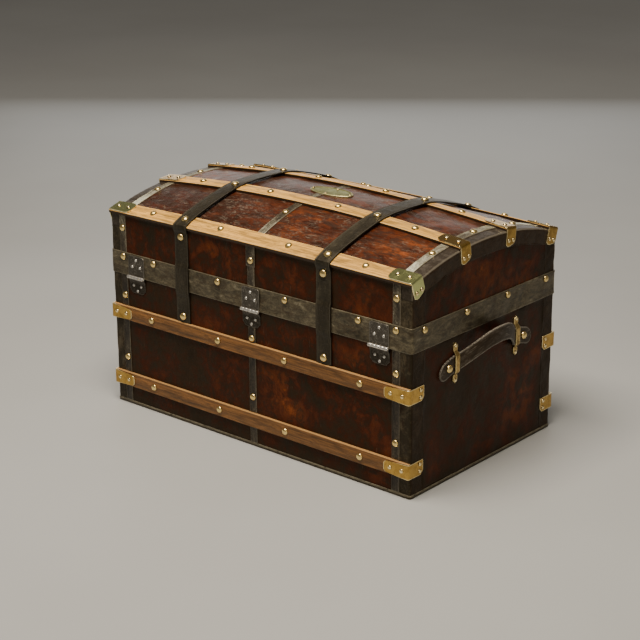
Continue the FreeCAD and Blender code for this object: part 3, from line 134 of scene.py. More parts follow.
# ---------------------------------------------------------------- the trunk's surfaces
HALF_X, HALF_Y = 430.0, 252.0            # half the length and half the depth over the leather
CORNER_SIDE, CORNER_END = 402.0, 40.0    # corner leathers: where they start on a long face, reach on an end face
WELT = 8.0                               # height of the welt round the bottom edge
LOW_SLAT = 62.0                          # middle height of the body's lower slats
STRIP_PLACES = (-392.0, 0.0, 392.0)      # middles of the seam strips along the trunk
OVAL_PLATE = (-10.0, 58.0, 27.0)         # the plate's middle along the trunk, half its length, half its width


def dome_height(x, y, lift=0.0):
    """Height of the crowned lid's surface, raised by lift."""
    share = (np.asarray(x, float) / HALF_X) ** 2
    eave = sizes("eave") + sizes("eave_rise") * (1 - share)
    crown = eave + sizes("crown_middle") + (sizes("crown_end") - sizes("crown_middle")) * share
    half = HALF_Y - 2
    sag = crown - eave
    radius = (half ** 2 + sag ** 2) / (2 * sag)
    return crown - radius + np.sqrt((radius + lift) ** 2 - np.asarray(y, float) ** 2)


def dome_out(x, y):
    """Outward direction of the crowned surface."""
    step = 0.5
    slope_x = (dome_height(x + step, y) - dome_height(x - step, y)) / (2 * step)
    slope_y = (dome_height(x, y + step) - dome_height(x, y - step)) / (2 * step)
    return unit(np.stack([-slope_x, -slope_y, np.ones_like(slope_x)], -1))


def unit(vectors):
    """Vectors scaled to length one."""
    return vectors / np.maximum(np.linalg.norm(vectors, axis=-1, keepdims=True), 1e-9)


def mirrored(*steps, centre=()):
    """Places across a part, alike on both sides of its middle."""
    steps = np.array(steps, float)
    return np.concatenate([-steps[::-1], centre, steps])


def from_edges(half, *steps):
    """Places across a part: steps in from both edges, and its middle."""
    steps = np.array(steps, float)
    return np.concatenate([steps - half, [0.0], half - steps[::-1]])


def upper_slat(side):
    """Middle height of the body's upper slat on the back (1) or the front (-1)."""
    return sizes("seam") - (90.5 if side > 0 else 106.0)


def wall_line(run):
    """Points and outward directions along the trunk's outline; run starts at mid back and goes towards +X."""
    radius = sizes("corner")
    long, end = HALF_X - radius, HALF_Y - radius
    turn = ARC * radius
    run = np.mod(np.asarray(run, float), 4 * (long + end + turn))
    point = np.zeros(run.shape + (2,))
    out = np.zeros_like(point)
    corners = (((1, 1), long), ((1, -1), end * 2), ((-1, -1), long * 2), ((-1, 1), end * 2))
    headings = ((1, 0), (0, -1), (-1, 0), (0, 1), (1, 0))
    faces = ((0, 1), (1, 0), (0, -1), (-1, 0), (0, 1))
    begin = 0.0
    start = np.array([0.0, HALF_Y])
    for index in range(5):
        length = corners[index][1] if index < 4 else long
        here = (run >= begin) & (run <= begin + length + 1e-9)
        heading, face = np.array(headings[index], float), np.array(faces[index], float)
        point[here] = start + (run[here] - begin)[:, None] * heading
        out[here] = face
        begin += length
        start = start + length * heading
        if index == 4:
            break
        here = (run > begin) & (run < begin + turn)
        centre = np.array(corners[index][0], float) * (long, end)
        angle = ((run[here] - begin) / radius)[:, None]
        out[here] = np.cos(angle) * face + np.sin(angle) * heading
        point[here] = centre + radius * out[here]
        begin += turn
        start = centre + radius * heading
    return point, out


def places_along():
    """Where mid end, mid front and mid other end lie along the outline."""
    radius = sizes("corner")
    long, end, turn = HALF_X - radius, HALF_Y - radius, ARC * radius
    right = long + turn + end
    front = right + end + turn + long
    return right, front, 2 * front - right


def corner_starts():
    """Where each rounded corner begins along the outline."""
    radius = sizes("corner")
    right, front, left = places_along()
    turn = ARC * radius
    return [middle - (half - radius) - turn
            for middle, half in ((right, HALF_Y), (front, HALF_X), (left, HALF_Y), (2 * front, HALF_X))]


def panel_spans():
    """Stretches of the outline between the corner leathers: on the long faces, then on the ends."""
    right, front, left = places_along()
    long = [(0.0, CORNER_SIDE), (front - CORNER_SIDE, front), (front, front + CORNER_SIDE),
            (2 * front - CORNER_SIDE, 2 * front)]
    return long, [(middle - HALF_Y + CORNER_END, middle + HALF_Y - CORNER_END) for middle in (right, left)]


def corner_spans():
    """Stretches of the outline that the corner leathers cover."""
    long, (right, left) = panel_spans()
    return [(long[0][1], right[0]), (right[1], long[1][0]), (long[2][1], left[0]), (left[1], long[3][0])]


def ripple(points, reach, seed):
    """Smooth uneven values, about -1 to 1, that change over reach millimetres."""
    random = np.random.default_rng(abs(int(seed)))
    waves = random.normal(size=(8, 3))
    waves *= (random.uniform(0.7, 1.9, 8) * 2.6 / reach / np.linalg.norm(waves, axis=1))[:, None]
    return np.sin(points @ waves.T + random.uniform(0, 2 * math.pi, 8)).sum(-1) / 2.8


def spread(length, step, edge, more=()):
    """Shares of a length for the rows of a mesh: close together at both rounded ends."""
    close = np.array([0.0, 0.1, 0.32, 0.66, 1.0]) * edge
    count = max(2, int(round((length - 2 * edge) / step)) + 1)
    inside = np.linspace(edge, length - edge, count)[1:-1]
    extra = np.array([m for m in more if edge < m < length - edge])
    return np.unique(np.concatenate([close, inside, extra, length - close]).round(5))


def rounded(distance, radius):
    """How far a rounded edge lies below the surface at a distance from that edge."""
    near = radius - np.clip(distance, 0, radius)
    return radius - np.sqrt(np.maximum(radius ** 2 - near ** 2, 0))


# ---------------------------------------------------------------- meshes
SHARP_ANGLE = 40                         # degrees: bends sharper than this show as an edge
FLAT_ANGLE, WORN_ANGLE = 2, 32           # degrees, for CAD copies: flatter edges go, sharper ones are worn round
WORN_SHARP_ANGLE = 24                    # degrees: bends of a worn copy that show as an edge
WIDE_FACE = 36 * MM * MM                 # larger faces of a worn copy are shaded flat


def placed(name, data):
    """An object with its data, in the scene."""
    piece = bpy.data.objects.new(name, data)
    bpy.context.scene.collection.objects.link(piece)
    return piece


class Pile:
    """Gathers the parts of one piece, then makes its mesh.

    Each point keeps how it lies along and across its part, and how near a free edge it is.
    """

    def __init__(self):
        self.points, self.faces, self.lay, self.rim, self.warm, self.looks = [], [], [], [], [], []
        self.count = 0
        self.parts = 0
        self.look = 0

    def add(self, points, faces, lay=None, rim=None, warm=None):
        """One part: its points in millimetres and its faces."""
        points = np.asarray(points, float).reshape(-1, 3)
        size = len(points)
        self.points.append(points)
        self.faces += [tuple(int(i) + self.count for i in face) for face in faces]
        self.looks += [self.look] * len(faces)
        self.lay.append(points if lay is None else lay)
        self.rim.append(np.full(size, 50.0) if rim is None else rim)
        self.warm.append(np.zeros(size) if warm is None else warm)
        self.count += size
        self.parts += 1

    def slab(self, base, out, thick, edge=0.5, both=False, closed=False, relief=None, under=0.0, warm=None):
        """A thin part that lies on base points (rows, columns) and stands out by thick, its edges rounded."""
        rows, cols = base.shape[:2]
        out = np.broadcast_to(out, base.shape)
        along = np.zeros((rows, cols))
        across = np.zeros((rows, cols))
        along[1:] = np.cumsum(np.linalg.norm(np.diff(base, axis=0), axis=-1), axis=0)
        across[:, 1:] = np.cumsum(np.linalg.norm(np.diff(base, axis=1), axis=-1), axis=1)
        rim = np.minimum(across, across[:, -1:] - across)
        if not closed:
            rim = np.minimum(rim, np.minimum(along, along[-1:] - along))
        height = thick - rounded(rim, edge)
        if relief is not None:
            height = height + relief * np.clip(rim / (edge * 2), 0, 1)
        low = under + (rounded(rim, edge) if both else np.zeros_like(rim))
        outer = base + out * height[..., None]
        inner = base + out * low[..., None]
        grid = np.arange(rows * cols).reshape(rows, cols)
        if closed:
            grid = np.concatenate([grid, grid[:1]])
        quads = np.stack([grid[:-1, :-1], grid[1:, :-1], grid[1:, 1:], grid[:-1, 1:]], -1).reshape(-1, 4)
        mid = (rows // 2, cols // 2)
        turned = np.cross(outer[mid] - outer[mid[0] - 1, mid[1]], outer[mid] - outer[mid[0], mid[1] - 1])
        flip = turned @ out[mid] < 0
        if flip:
            quads = quads[:, ::-1]
        under_side = rows * cols
        faces = quads.tolist() + (quads[:, ::-1] + under_side).tolist()
        edges = [grid[:, 0], grid[:, -1][::-1]]
        if not closed:
            edges += [grid[0][::-1], grid[-1]]
        for line in edges:
            for a, b in zip(line[:-1], line[1:]):
                side = (a, b, b + under_side, a + under_side)
                faces.append(side[::-1] if flip else side)
        shift = np.full(along.shape, 137.0 * self.parts)    # no two parts share their grain
        lay = np.stack([along, across, shift], -1).reshape(-1, 3)
        warmth = np.zeros(rows * cols) if warm is None else np.asarray(warm, float).reshape(-1)
        self.add(np.concatenate([outer.reshape(-1, 3), inner.reshape(-1, 3)]), faces,
                 np.concatenate([lay, lay]), np.concatenate([rim.reshape(-1)] * 2),
                 np.concatenate([warmth] * 2))

    def turned(self, centre, axis, profile, turns):
        """A round part: profile is (radius, height) pairs from the rim to the top, turned about axis."""
        axis = np.asarray(axis, float) / np.linalg.norm(axis)
        aside = np.cross(axis, (0.0, 0.0, 1.0) if abs(axis[2]) < 0.9 else (1.0, 0.0, 0.0))
        aside /= np.linalg.norm(aside)
        third = np.cross(axis, aside)
        angles = np.arange(turns) / turns * 2 * math.pi
        circle = np.cos(angles)[:, None] * aside + np.sin(angles)[:, None] * third
        points, lay, low = [], [], []
        for radius, height in profile:
            points.append(centre + circle * radius + axis * height)
            low.append(np.full(turns, height - profile[0][1]))
            lay.append(np.stack([np.cos(angles) * radius, np.sin(angles) * radius,
                                 np.full(turns, 61.0 * self.parts)], -1))
        faces = []
        for level in range(len(profile) - 1):
            for i in range(turns):
                a, b = level * turns + i, level * turns + (i + 1) % turns
                faces.append((a, b, b + turns, a + turns))
        faces.append(tuple(range((len(profile) - 1) * turns, len(profile) * turns)))
        faces.append(tuple(reversed(range(turns))))
        self.add(np.concatenate(points), faces, np.concatenate(lay), np.concatenate(low))

    def make(self, name, *finishes):
        """The piece as an object, in the scene and in metres."""
        mesh = bpy.data.meshes.new(name)
        mesh.from_pydata((np.concatenate(self.points) * MM).tolist(), [], self.faces)
        for label, kind, field, values in (("lay", "FLOAT_VECTOR", "vector", np.concatenate(self.lay) * MM),
                                           ("rim", "FLOAT", "value", np.concatenate(self.rim) * MM),
                                           ("warm", "FLOAT", "value", np.concatenate(self.warm))):
            attribute = mesh.attributes.new(label, kind, "POINT")
            attribute.data.foreach_set(field, np.asarray(values, np.float32).ravel())
        mesh.polygons.foreach_set("use_smooth", [True] * len(mesh.polygons))
        for look in finishes:
            mesh.materials.append(look)
        mesh.polygons.foreach_set("material_index", self.looks)
        mesh.set_sharp_from_angle(angle=math.radians(SHARP_ANGLE))
        mesh.validate()
        return placed(name, mesh)

    def settle(self, name, look, body, slot, *nodes):
        """Makes the piece with one finish and settles it on its body."""
        settle(self.make(name, finish(look)), body, slot, *nodes)


def worn_copy(node, name, width, look):
    """A copy of a CAD node's mesh with its sharp edges worn round."""
    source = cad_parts[node]
    mesh = bpy.data.meshes.new(name)
    work = bmesh.new()
    work.from_mesh(source.data)
    bmesh.ops.remove_doubles(work, verts=work.verts, dist=1e-6)
    bmesh.ops.dissolve_limit(work, angle_limit=math.radians(FLAT_ANGLE), verts=work.verts, edges=work.edges)
    if width:
        sharp = [edge for edge in work.edges
                 if len(edge.link_faces) == 2 and edge.calc_face_angle(0) > math.radians(WORN_ANGLE)]
        bmesh.ops.bevel(work, geom=sharp, offset=width * MM, offset_type="OFFSET", segments=2, profile=0.5,
                        affect="EDGES", clamp_overlap=True)
    work.to_mesh(mesh)
    work.free()
    rim = mesh.attributes.new("rim", "FLOAT", "POINT")
    rim.data.foreach_set("value", [0.05] * len(mesh.vertices))
    mesh.polygons.foreach_set("use_smooth", [face.area < WIDE_FACE for face in mesh.polygons])
    mesh.set_sharp_from_angle(angle=math.radians(WORN_SHARP_ANGLE))
    mesh.materials.clear()
    mesh.materials.append(finish(look))
    return placed(name, mesh)


def settle(piece, body, slot, *nodes):
    """The piece rides on a body, takes a material slot and stands for its CAD nodes."""
    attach(piece, body)
    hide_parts(*nodes)


# ---------------------------------------------------------------- finishes
class Finish:
    """A procedural finish, put together in short steps."""

    def __init__(self, name, roughness=0.5, metallic=0.0, coat=0.0, coat_roughness=0.2, specular=0.5, sheen=0.0,
                 gloss=(1.0, 1.0, 1.0)):
        self.material = bpy.data.materials.new(name)
        self.material.use_nodes = True
        self.tree = self.material.node_tree
        self.shader = next(n for n in self.tree.nodes if n.type == "BSDF_PRINCIPLED")
        for socket, value in (("Roughness", roughness), ("Metallic", metallic), ("Coat Weight", coat),
                              ("Coat Roughness", coat_roughness), ("Specular IOR Level", specular),
                              ("Sheen Weight", sheen), ("Specular Tint", gloss)):
            self.put(self.shader.inputs[socket], value)
        self.object_space = self.node("ShaderNodeTexCoord").outputs["Object"]

    def node(self, kind, **settings):
        """A new node with its settings."""
        made = self.tree.nodes.new(kind)
        for key, value in settings.items():
            setattr(made, key, value)
        return made

    def put(self, socket, value):
        """A number, a colour or another node's output into a socket."""
        if isinstance(value, bpy.types.NodeSocket):
            self.tree.links.new(value, socket)
        elif isinstance(value, tuple) and len(value) == 3:
            socket.default_value = (*value, 1.0)
        else:
            socket.default_value = value

    def attribute(self, name):
        """A value or vector kept with the mesh's points."""
        made = self.node("ShaderNodeAttribute", attribute_name=name)
        return made.outputs["Vector" if name == "lay" else "Fac"]

    def made(self, kind, output, inputs, **settings):
        """One output of a new node whose inputs are pairs of a socket and what goes into it."""
        node = self.node(kind, **settings)
        for socket, value in inputs:
            self.put(node.inputs[socket], value)
        return node.outputs[output]

    def scaled(self, reach, space):
        """Coordinates in which a reach in millimetres (one number or three) is one."""
        reach = reach if isinstance(reach, tuple) else (reach,) * 3
        return self.made("ShaderNodeVectorMath", 0, (
            (0, space or self.object_space), (1, [1.0 / MM / r for r in reach])), operation="MULTIPLY")

    def noise(self, reach, detail=4.0, rough=0.55, warp=0.0, space=None):
        """Cloudy values whose lumps measure reach in millimetres."""
        return self.made("ShaderNodeTexNoise", "Fac", (
            ("Vector", self.scaled(reach, space)), ("Scale", 1.0), ("Detail", detail), ("Roughness", rough),
            ("Distortion", warp)))

    def pebbles(self, reach, space=None):
        """Cell pattern such as leather grain."""
        return self.made("ShaderNodeTexVoronoi", "Distance", (
            ("Vector", self.scaled(reach, space)), ("Scale", 1.0)))

    def facing(self, axis, either_way=False):
        """How far the surface faces along X, Y or Z."""
        normal = self.node("ShaderNodeNewGeometry").outputs["Normal"]
        part = self.made("ShaderNodeSeparateXYZ", axis, ((0, normal),))
        return self.made("ShaderNodeMath", 0, ((0, part),), operation="ABSOLUTE") if either_way else part

    def span(self, value, low, high, out_low=0.0, out_high=1.0):
        """Low to high of a value becomes out_low to out_high, smoothly."""
        return self.made("ShaderNodeMapRange", "Result", (
            ("Value", value), ("From Min", low), ("From Max", high), ("To Min", out_low), ("To Max", out_high)),
            interpolation_type="SMOOTHSTEP")

    def sum(self, *terms):
        """Weighted sum: pairs of a value and its weight."""
        total = 0.0
        for value, weight in terms:
            total = self.made("ShaderNodeMath", 0, ((0, value), (1, weight), (2, total)),
                              operation="MULTIPLY_ADD")
        return total

    def times(self, a, b):
        """One value times another."""
        return self.made("ShaderNodeMath", 0, ((0, a), (1, b)), operation="MULTIPLY")

    def ramp(self, value, *stops):
        """Colours along a value: pairs of a place and a colour."""
        made = self.node("ShaderNodeValToRGB")
        self.put(made.inputs["Fac"], value)
        elements = made.color_ramp.elements
        while len(elements) < len(stops):
            elements.new(0.5)
        for element, (place, shade) in zip(elements, stops):
            element.position = place
            element.color = shade if len(shade) == 4 else (*shade, 1.0)
        return made.outputs["Color"]

    def mix(self, share, a, b):
        """Colour a going over to colour b by share."""
        return self.made("ShaderNodeMix", 2, (("Factor", share), (6, a), (7, b)), data_type="RGBA")

    def cover(self, base, where, share, shade):
        """The base with a shade laid over it where a value is high, up to a share."""
        return self.mix(self.times(where, share), base, shade)

    def edge(self, low, high):
        """One at a free edge, fading out between two distances in metres."""
        return self.span(self.attribute("rim"), low, high, 1.0, 0.0)

    def relief(self, *layers):
        """Layers of relief, the lowest first: pairs of a height and its depth in millimetres."""
        normal = None
        for height, depth in layers:
            below = () if normal is None else (("Normal", normal),)
            normal = self.made("ShaderNodeBump", "Normal", (
                ("Strength", 1.0), ("Distance", depth * MM), ("Height", height), *below))
        return normal

    def done(self, base, roughness=None, normal=None):
        """The material, with what has been put together for it."""
        for name, value in (("Base Color", base), ("Roughness", roughness), ("Normal", normal)):
            if value is not None:
                self.put(self.shader.inputs[name], value)
        return self.material


FINISHES = {}


def finish(name):
    """A finish by name, made the first time that it is asked for."""
    if name not in FINISHES:
        FINISHES[name] = MAKERS[name]()
    return FINISHES[name]


def scratches(make, reach, space=None, low=0.66, high=0.74):
    """Thin stray lines, 0 to 1."""
    lines = make.noise(reach, 2.0, 0.5, 0.3, space)
    patches = make.noise(60, 2.0)
    return make.times(make.span(lines, low, high), make.span(patches, 0.45, 0.62))


WARM_GLOSS = (1.0, 0.80, 0.55)


def torn(make, reach, low, high):
    """Cloudy patches with torn edges, 0 to 1."""
    return make.span(make.noise(reach, 6.0, 0.64, 1.2), low, high)


def panel_leather():
    """Waxed leather, dark brown, clouded with red brown and rubbed to rust in patches."""
    make = Finish("panel_leather", specular=0.13, gloss=WARM_GLOSS)
    drift = make.noise((140, 140, 120), 2.0, 0.5, 0.6)
    clouds = make.noise((38, 38, 44), 5.0, 0.60, 0.6)
    marbling = make.noise((12, 12, 15), 5.0, 0.64, 0.4)
    fine = make.noise((2.0, 2.0, 2.6), 4.0, 0.70)
    warm = make.times(make.attribute("warm"), make.span(clouds, 0.32, 0.60))
    tone = make.sum((drift, 0.44), (clouds, 0.46), (marbling, 0.24), (fine, 0.15), (warm, 0.18),
                    (make.edge(0.0, 0.030), -0.11))
    base = make.ramp(tone, (0.46, tint("leather_dark", 0.75)), (0.57, tint("leather_dark", 1.2)),
                     (0.67, tint("leather_red", 0.42)), (0.77, tint("leather_red", 0.80)),
                     (0.89, tint("leather_rust", 0.46)), (1.04, tint("leather_rust", 0.95)))
    grime = torn(make, (26, 26, 30), 0.46, 0.64)
    base = make.cover(base, grime, 0.62, (0.0150, 0.0125, 0.0075))
    bloom = torn(make, (7, 7, 9), 0.60, 0.76)
    base = make.cover(base, bloom, 0.26, (0.055, 0.048, 0.032))
    scuffs = make.times(scratches(make, (2.6, 2.6, 24.0)), 0.35)
    base = make.mix(scuffs, base, (0.12, 0.085, 0.055))
    base = make.cover(base, make.edge(0.0, 0.0012), 0.5, (0.011, 0.0085, 0.0055))
    grain = make.pebbles(1.7)
    creases = make.noise((16, 16, 5), 3.0, 0.6, 1.4)
    normal = make.relief((make.noise(34, 3.0), 1.1), (creases, 0.35), (marbling, 0.25), (grain, 0.12),
                         (scuffs, -0.2))
    roughness = make.sum((clouds, 0.30), (marbling, 0.24), (grain, 0.10), (1.0, 0.08))
    return make.done(base, roughness, normal)


def dome_leather():
    """The lid top's leather: redder, rubbed to orange, with grey scuffs along the trunk."""
    make = Finish("dome_leather", coat=0.04, coat_roughness=0.22, specular=0.22, gloss=(1.0, 0.90, 0.76))
    drift = make.noise((170, 80, 90), 2.0, 0.5, 0.7)
    clouds = make.noise((70, 28, 40), 5.0, 0.60, 1.3)
    marbling = make.noise((22, 8, 12), 6.0, 0.64, 1.1)
    fine = make.noise(2.2, 4.0, 0.66)
    warm = make.times(make.attribute("warm"), make.span(clouds, 0.30, 0.62))
    tone = make.sum((drift, 0.40), (clouds, 0.46), (marbling, 0.34), (fine, 0.14), (warm, 0.20))
    base = make.ramp(tone, (0.50, tint("leather_dark", 1.1)), (0.62, tint("leather_red", 0.36)),
                     (0.72, tint("leather_red", 0.80)), (0.83, tint("leather_rust", 0.45)),
                     (0.94, tint("leather_rust", 0.88)), (1.05, tint("leather_rust", 1.4)))
    purple = torn(make, (40, 15, 20), 0.42, 0.60)
    base = make.cover(base, purple, 0.74, (0.031, 0.0175, 0.0125))
    # painted sheen: pale grey patches laid over the dome leather
    grey = make.times(torn(make, (16, 6, 8), 0.50, 0.66), make.span(make.noise(80, 3.0), 0.40, 0.60))
    base = make.cover(base, grey, 0.62, (0.165, 0.138, 0.108))
    scuffs = make.times(scratches(make, (28.0, 2.2, 6.0)), 0.6)
    base = make.mix(scuffs, base, (0.28, 0.24, 0.19))
    grain = make.pebbles(1.7)
    normal = make.relief((make.noise(30, 3.0), 1.3), (marbling, 0.5), (grain, 0.12))
    roughness = make.sum((clouds, 0.34), (marbling, 0.22), (grain, 0.08), (1.0, 0.02))
    return make.done(base, roughness, normal)


def corner_leather():
    """Black leather, a little green grey where it is rubbed, and brown on the end faces."""
    make = Finish("corner_leather", specular=0.15, gloss=WARM_GLOSS)
    clouds = make.noise((44, 44, 70), 5.0, 0.66, 0.9)
    mottle = make.noise(6, 5.0, 0.7)
    rubbed = make.span(make.sum((clouds, 0.66), (mottle, 0.42)), 0.48, 0.68)
    base = make.mix(rubbed, tint("black_leather", 0.45), tint("black_leather", 1.7))
    red = make.span(make.noise((40, 40, 80), 4.0, 0.66, 1.2), 0.52, 0.66)
    base = make.cover(base, red, 0.45, tint("leather_red", 0.26))
    base = make.cover(base, make.edge(0.0, 0.0012), 0.6, tint("black_leather", 0.3))
    scuffs = make.times(scratches(make, (2.6, 2.6, 16.0)), 0.35)
    base = make.mix(scuffs, base, (0.12, 0.115, 0.10))
    base = make.cover(base, make.span(make.facing("X", True), 0.6, 0.98), 0.8,
                      make.mix(rubbed, tint("leather_dark", 0.7), tint("leather_dark", 1.6)))
    grain = make.pebbles(1.5)
    normal = make.relief((make.noise((20, 20, 26), 4.0, 0.62, 0.9), 1.2),
                         (make.noise((5, 5, 9), 4.0, 0.65, 1.3), 0.4), (grain, 0.09))
    roughness = make.sum((make.noise(16, 4.0), 0.36), (mottle, 0.20), (1.0, 0.14))
    return make.done(base, roughness, normal)


def binding_leather():
    """Dark grey brown leather of the bindings, rubbed grey along its bend and dark along its edge."""
    make = Finish("binding_leather", specular=0.26, gloss=WARM_GLOSS)
    clouds = make.noise((60, 26, 26), 5.0, 0.66, 0.7)
    mottle = make.noise((4, 7, 5), 5.0, 0.7, 0.4)
    tone = make.sum((clouds, 0.62), (mottle, 0.46))
    base = make.ramp(tone, (0.38, tint("black_leather", 0.5)), (0.53, (0.030, 0.024, 0.020)),
                     (0.66, (0.068, 0.060, 0.051)), (0.82, (0.15, 0.14, 0.12)))
    sideways = make.facing("X", True)
    # painted sheen: pale grey on the bend, where the surface turns between the top and the end face
    wear_and_sheen = make.times(make.span(sideways, 0.25, 0.6), make.span(sideways, 0.97, 0.78))
    base = make.cover(base, wear_and_sheen, 0.6, (0.15, 0.135, 0.108))
    base = make.cover(base, make.span(sideways, 0.80, 0.98), 0.8,
                      make.mix(make.span(mottle, 0.4, 0.62), tint("leather_dark", 0.8),
                               tint("leather_dark", 1.7)))
    base = make.cover(base, make.edge(0.0, 0.0018), 0.75, tint("black_leather", 0.3))
    normal = make.relief((make.noise(22, 4.0, 0.62, 0.9), 1.2), (mottle, 0.25),
                         (make.pebbles(1.5), 0.10))
    roughness = make.sum((clouds, 0.30), (mottle, 0.20), (1.0, 0.16))
    return make.done(base, roughness, normal)


def welt_leather():
    """Black leather of the welt, its rolled ridge rubbed to a pale line."""
    make = Finish("welt_leather", specular=0.26, gloss=WARM_GLOSS)
    mottle = make.noise((9, 9, 4), 5.0, 0.7, 0.4)
    base = make.mix(make.span(mottle, 0.40, 0.62), tint("black_leather", 0.45), tint("black_leather", 1.1))
    # painted highlight: a pale line where the rolled ridge faces up
    ridge_highlight = make.times(make.span(make.facing("Z"), 0.10, 0.45), make.span(mottle, 0.30, 0.52))
    base = make.cover(base, ridge_highlight, 0.9, (0.19, 0.175, 0.13))
    normal = make.relief((mottle, 0.25))
    return make.done(base, make.sum((mottle, 0.30), (1.0, 0.22)), normal)


def strap_leather():
    """Grey black strap leather, dry and matt, with cross creases and pale lines inside its dark edges."""
    make = Finish("strap_leather", specular=0.22, gloss=(1.0, 0.88, 0.70))
    lay, rim = make.attribute("lay"), make.attribute("rim")
    clouds = make.noise((60, 26, 40), 4.0, 0.6, 0.5, lay)
    mottle = make.noise((6, 4, 6), 5.0, 0.7, 0.2, lay)
    base = make.ramp(make.sum((clouds, 0.55), (mottle, 0.5)), (0.36, tint("strap", 0.25)),
                     (0.54, tint("strap", 0.62)), (0.68, tint("strap", 1.3)), (0.82, (0.092, 0.084, 0.066)))
    pale = make.times(make.span(rim, 0.0010, 0.0016), make.edge(0.0020, 0.0032))
    base = make.cover(base, pale, 0.35, (0.12, 0.108, 0.084))
    # painted shadow: the outermost millimetre or so of the strap is darkened, as the shadow line of its thickness
    base = make.cover(base, make.edge(0.0004, 0.0014), 0.75, (0.010, 0.0085, 0.006))
    crease = make.noise((2.2, 20, 10), 4.0, 0.66, 0.8, lay)
    base = make.cover(base, make.span(crease, 0.58, 0.70), 0.30, (0.11, 0.100, 0.080))
    normal = make.relief((make.noise((26, 16, 20), 4.0, 0.6, 0.5, lay), 1.4), (crease, 0.22),
                         (make.pebbles(1.5, lay), 0.08))
    roughness = make.sum((mottle, 0.34), (clouds, 0.26), (1.0, 0.12))
    return make.done(base, roughness, normal)


def handle_leather():
    """Dark brown handle leather, worn light grey along its edges and crown."""
    make = Finish("handle_leather", specular=0.25, gloss=(1.0, 0.88, 0.70))
    lay = make.attribute("lay")
    clouds = make.noise((34, 14, 20), 4.0, 0.6, 0.6, lay)
    mottle = make.noise((3.4, 2.4, 3), 4.0, 0.7, 0.2, lay)
    base = make.ramp(make.sum((clouds, 0.6), (mottle, 0.42)), (0.38, tint("handle", 0.5)),
                     (0.54, tint("handle", 1.2)), (0.66, (0.085, 0.074, 0.064)), (0.78, (0.20, 0.18, 0.155)))
    edge = make.times(make.edge(0.0008, 0.0045), make.span(mottle, 0.36, 0.56))
    base = make.cover(base, edge, 0.8, (0.27, 0.25, 0.22))
    scuffs = make.times(scratches(make, (30.0, 2.0, 6.0), lay, 0.56, 0.68), 0.7)
    base = make.mix(scuffs, base, (0.24, 0.215, 0.185))
    crease = make.noise((3.0, 26, 12), 3.0, 0.6, 0.5, lay)
    normal = make.relief((make.noise((22, 14, 16), 3.0, 0.5, 0.3, lay), 0.7), (crease, 0.2),
                         (make.pebbles(1.3, lay), 0.10))
    roughness = make.sum((mottle, 0.3), (clouds, 0.25), (1.0, 0.20))
    return make.done(base, roughness, normal)


def slat_wood(name, shade, wear_and_sheen, shaded, edge):
    """Straight grained slat wood, oiled, with worn light edges, dark pores and dirt on its shaded sides."""
    make = Finish(name, coat=0.08, coat_roughness=0.3, specular=0.35, gloss=(1.0, 0.9, 0.75))
    lay = make.attribute("lay")
    wander = make.noise((330, 16, 20), 2.0, 0.5, 1.3, lay)
    bands = make.noise((150, 3.4, 8), 5.0, 0.66, 0.9, lay)
    pores = make.noise((22, 0.7, 2), 3.0, 0.6, 0.2, lay)
    stains = make.noise((60, 16, 30), 5.0, 0.66, 0.9, lay)
    tone = make.sum((wander, 0.34), (bands, 0.56), (stains, 0.42), (1.0, -0.085))
    base = make.ramp(tone, (0.42, tint(shade, 0.26)), (0.53, tint(shade, 0.60)), (0.62, tint(shade, 0.95)),
                     (0.74, tint(shade, 1.22)))
    base = make.cover(base, make.span(pores, 0.52, 0.66), 0.72, tint(shade, 0.30))
    dirt = make.span(make.noise((44, 11, 12), 5.0, 0.7, 0.9, lay), 0.54, 0.70)
    base = make.cover(base, dirt, 0.5, tint(shade, 0.24))
    up = make.facing("Z")
    # worn edges, partly a painted highlight: only the edges that face up are lightened
    light_edge = make.times(make.edge(0.0004, 0.0030), make.span(up, 0.10, 0.62))
    base = make.cover(base, light_edge, wear_and_sheen, edge)
    # painted shade: faces that turn away from up, between the two facings in shaded, go near-black brown
    base = make.mix(make.span(up, *shaded), base, (0.022, 0.012, 0.0065))
    normal = make.relief((bands, 0.25), (pores, -0.12), (make.noise((26, 9, 9), 3.0, 0.5, 0.3, lay), 0.4))
    roughness = make.sum((stains, 0.28), (bands, 0.14), (1.0, 0.22))
    return make.done(base, roughness, normal)


def board_wood(name, reach):
    """Plain sawn board."""
    make = Finish(name)
    grain = make.noise(reach, 4.0, 0.6, 0.7)
    pores = make.noise(tuple(r * 0.12 if r > 50 else r * 0.25 for r in reach), 3.0)
    base = make.ramp(make.sum((grain, 0.8), (pores, 0.2)), (0.34, (0.085, 0.042, 0.018)),
                     (0.5, (0.20, 0.115, 0.055)), (0.66, (0.33, 0.21, 0.11)))
    normal = make.relief((grain, 0.3))
    return make.done(base, make.sum((pores, 0.3), (1.0, 0.42)), normal)


def band_metal():
    """Old tinned iron band: grey green patina, dark freckles, paler rubbed edges."""
    make = Finish("band_metal", metallic=0.55)
    clouds = make.noise((60, 60, 22), 5.0, 0.66, 0.9)
    mottle = make.noise((14, 14, 7), 5.0, 0.72, 0.6)
    freckles = make.span(make.noise(3.2, 3.0, 0.6), 0.58, 0.68)
    base = make.ramp(make.sum((clouds, 0.54), (mottle, 0.50)), (0.38, tint("band", 0.22)),
                     (0.48, tint("band", 0.62)), (0.58, tint("band", 1.10)), (0.70, (0.29, 0.26, 0.18)),
                     (0.80, (0.44, 0.41, 0.30)))
    base = make.cover(base, freckles, 0.8, (0.026, 0.020, 0.013))
    base = make.cover(base, make.edge(0.0003, 0.0020), 0.42, (0.34, 0.31, 0.22))
    rust = make.span(make.noise((30, 30, 15), 5.0, 0.72, 0.9), 0.48, 0.64)
    base = make.cover(base, rust, 0.62, (0.050, 0.031, 0.016))
    normal = make.relief((make.noise((38, 38, 22), 3.0, 0.5), 1.4), (mottle, 0.35), (freckles, -0.18))
    roughness = make.sum((mottle, 0.34), (clouds, 0.18), (1.0, 0.12))
    return make.done(base, roughness, normal)


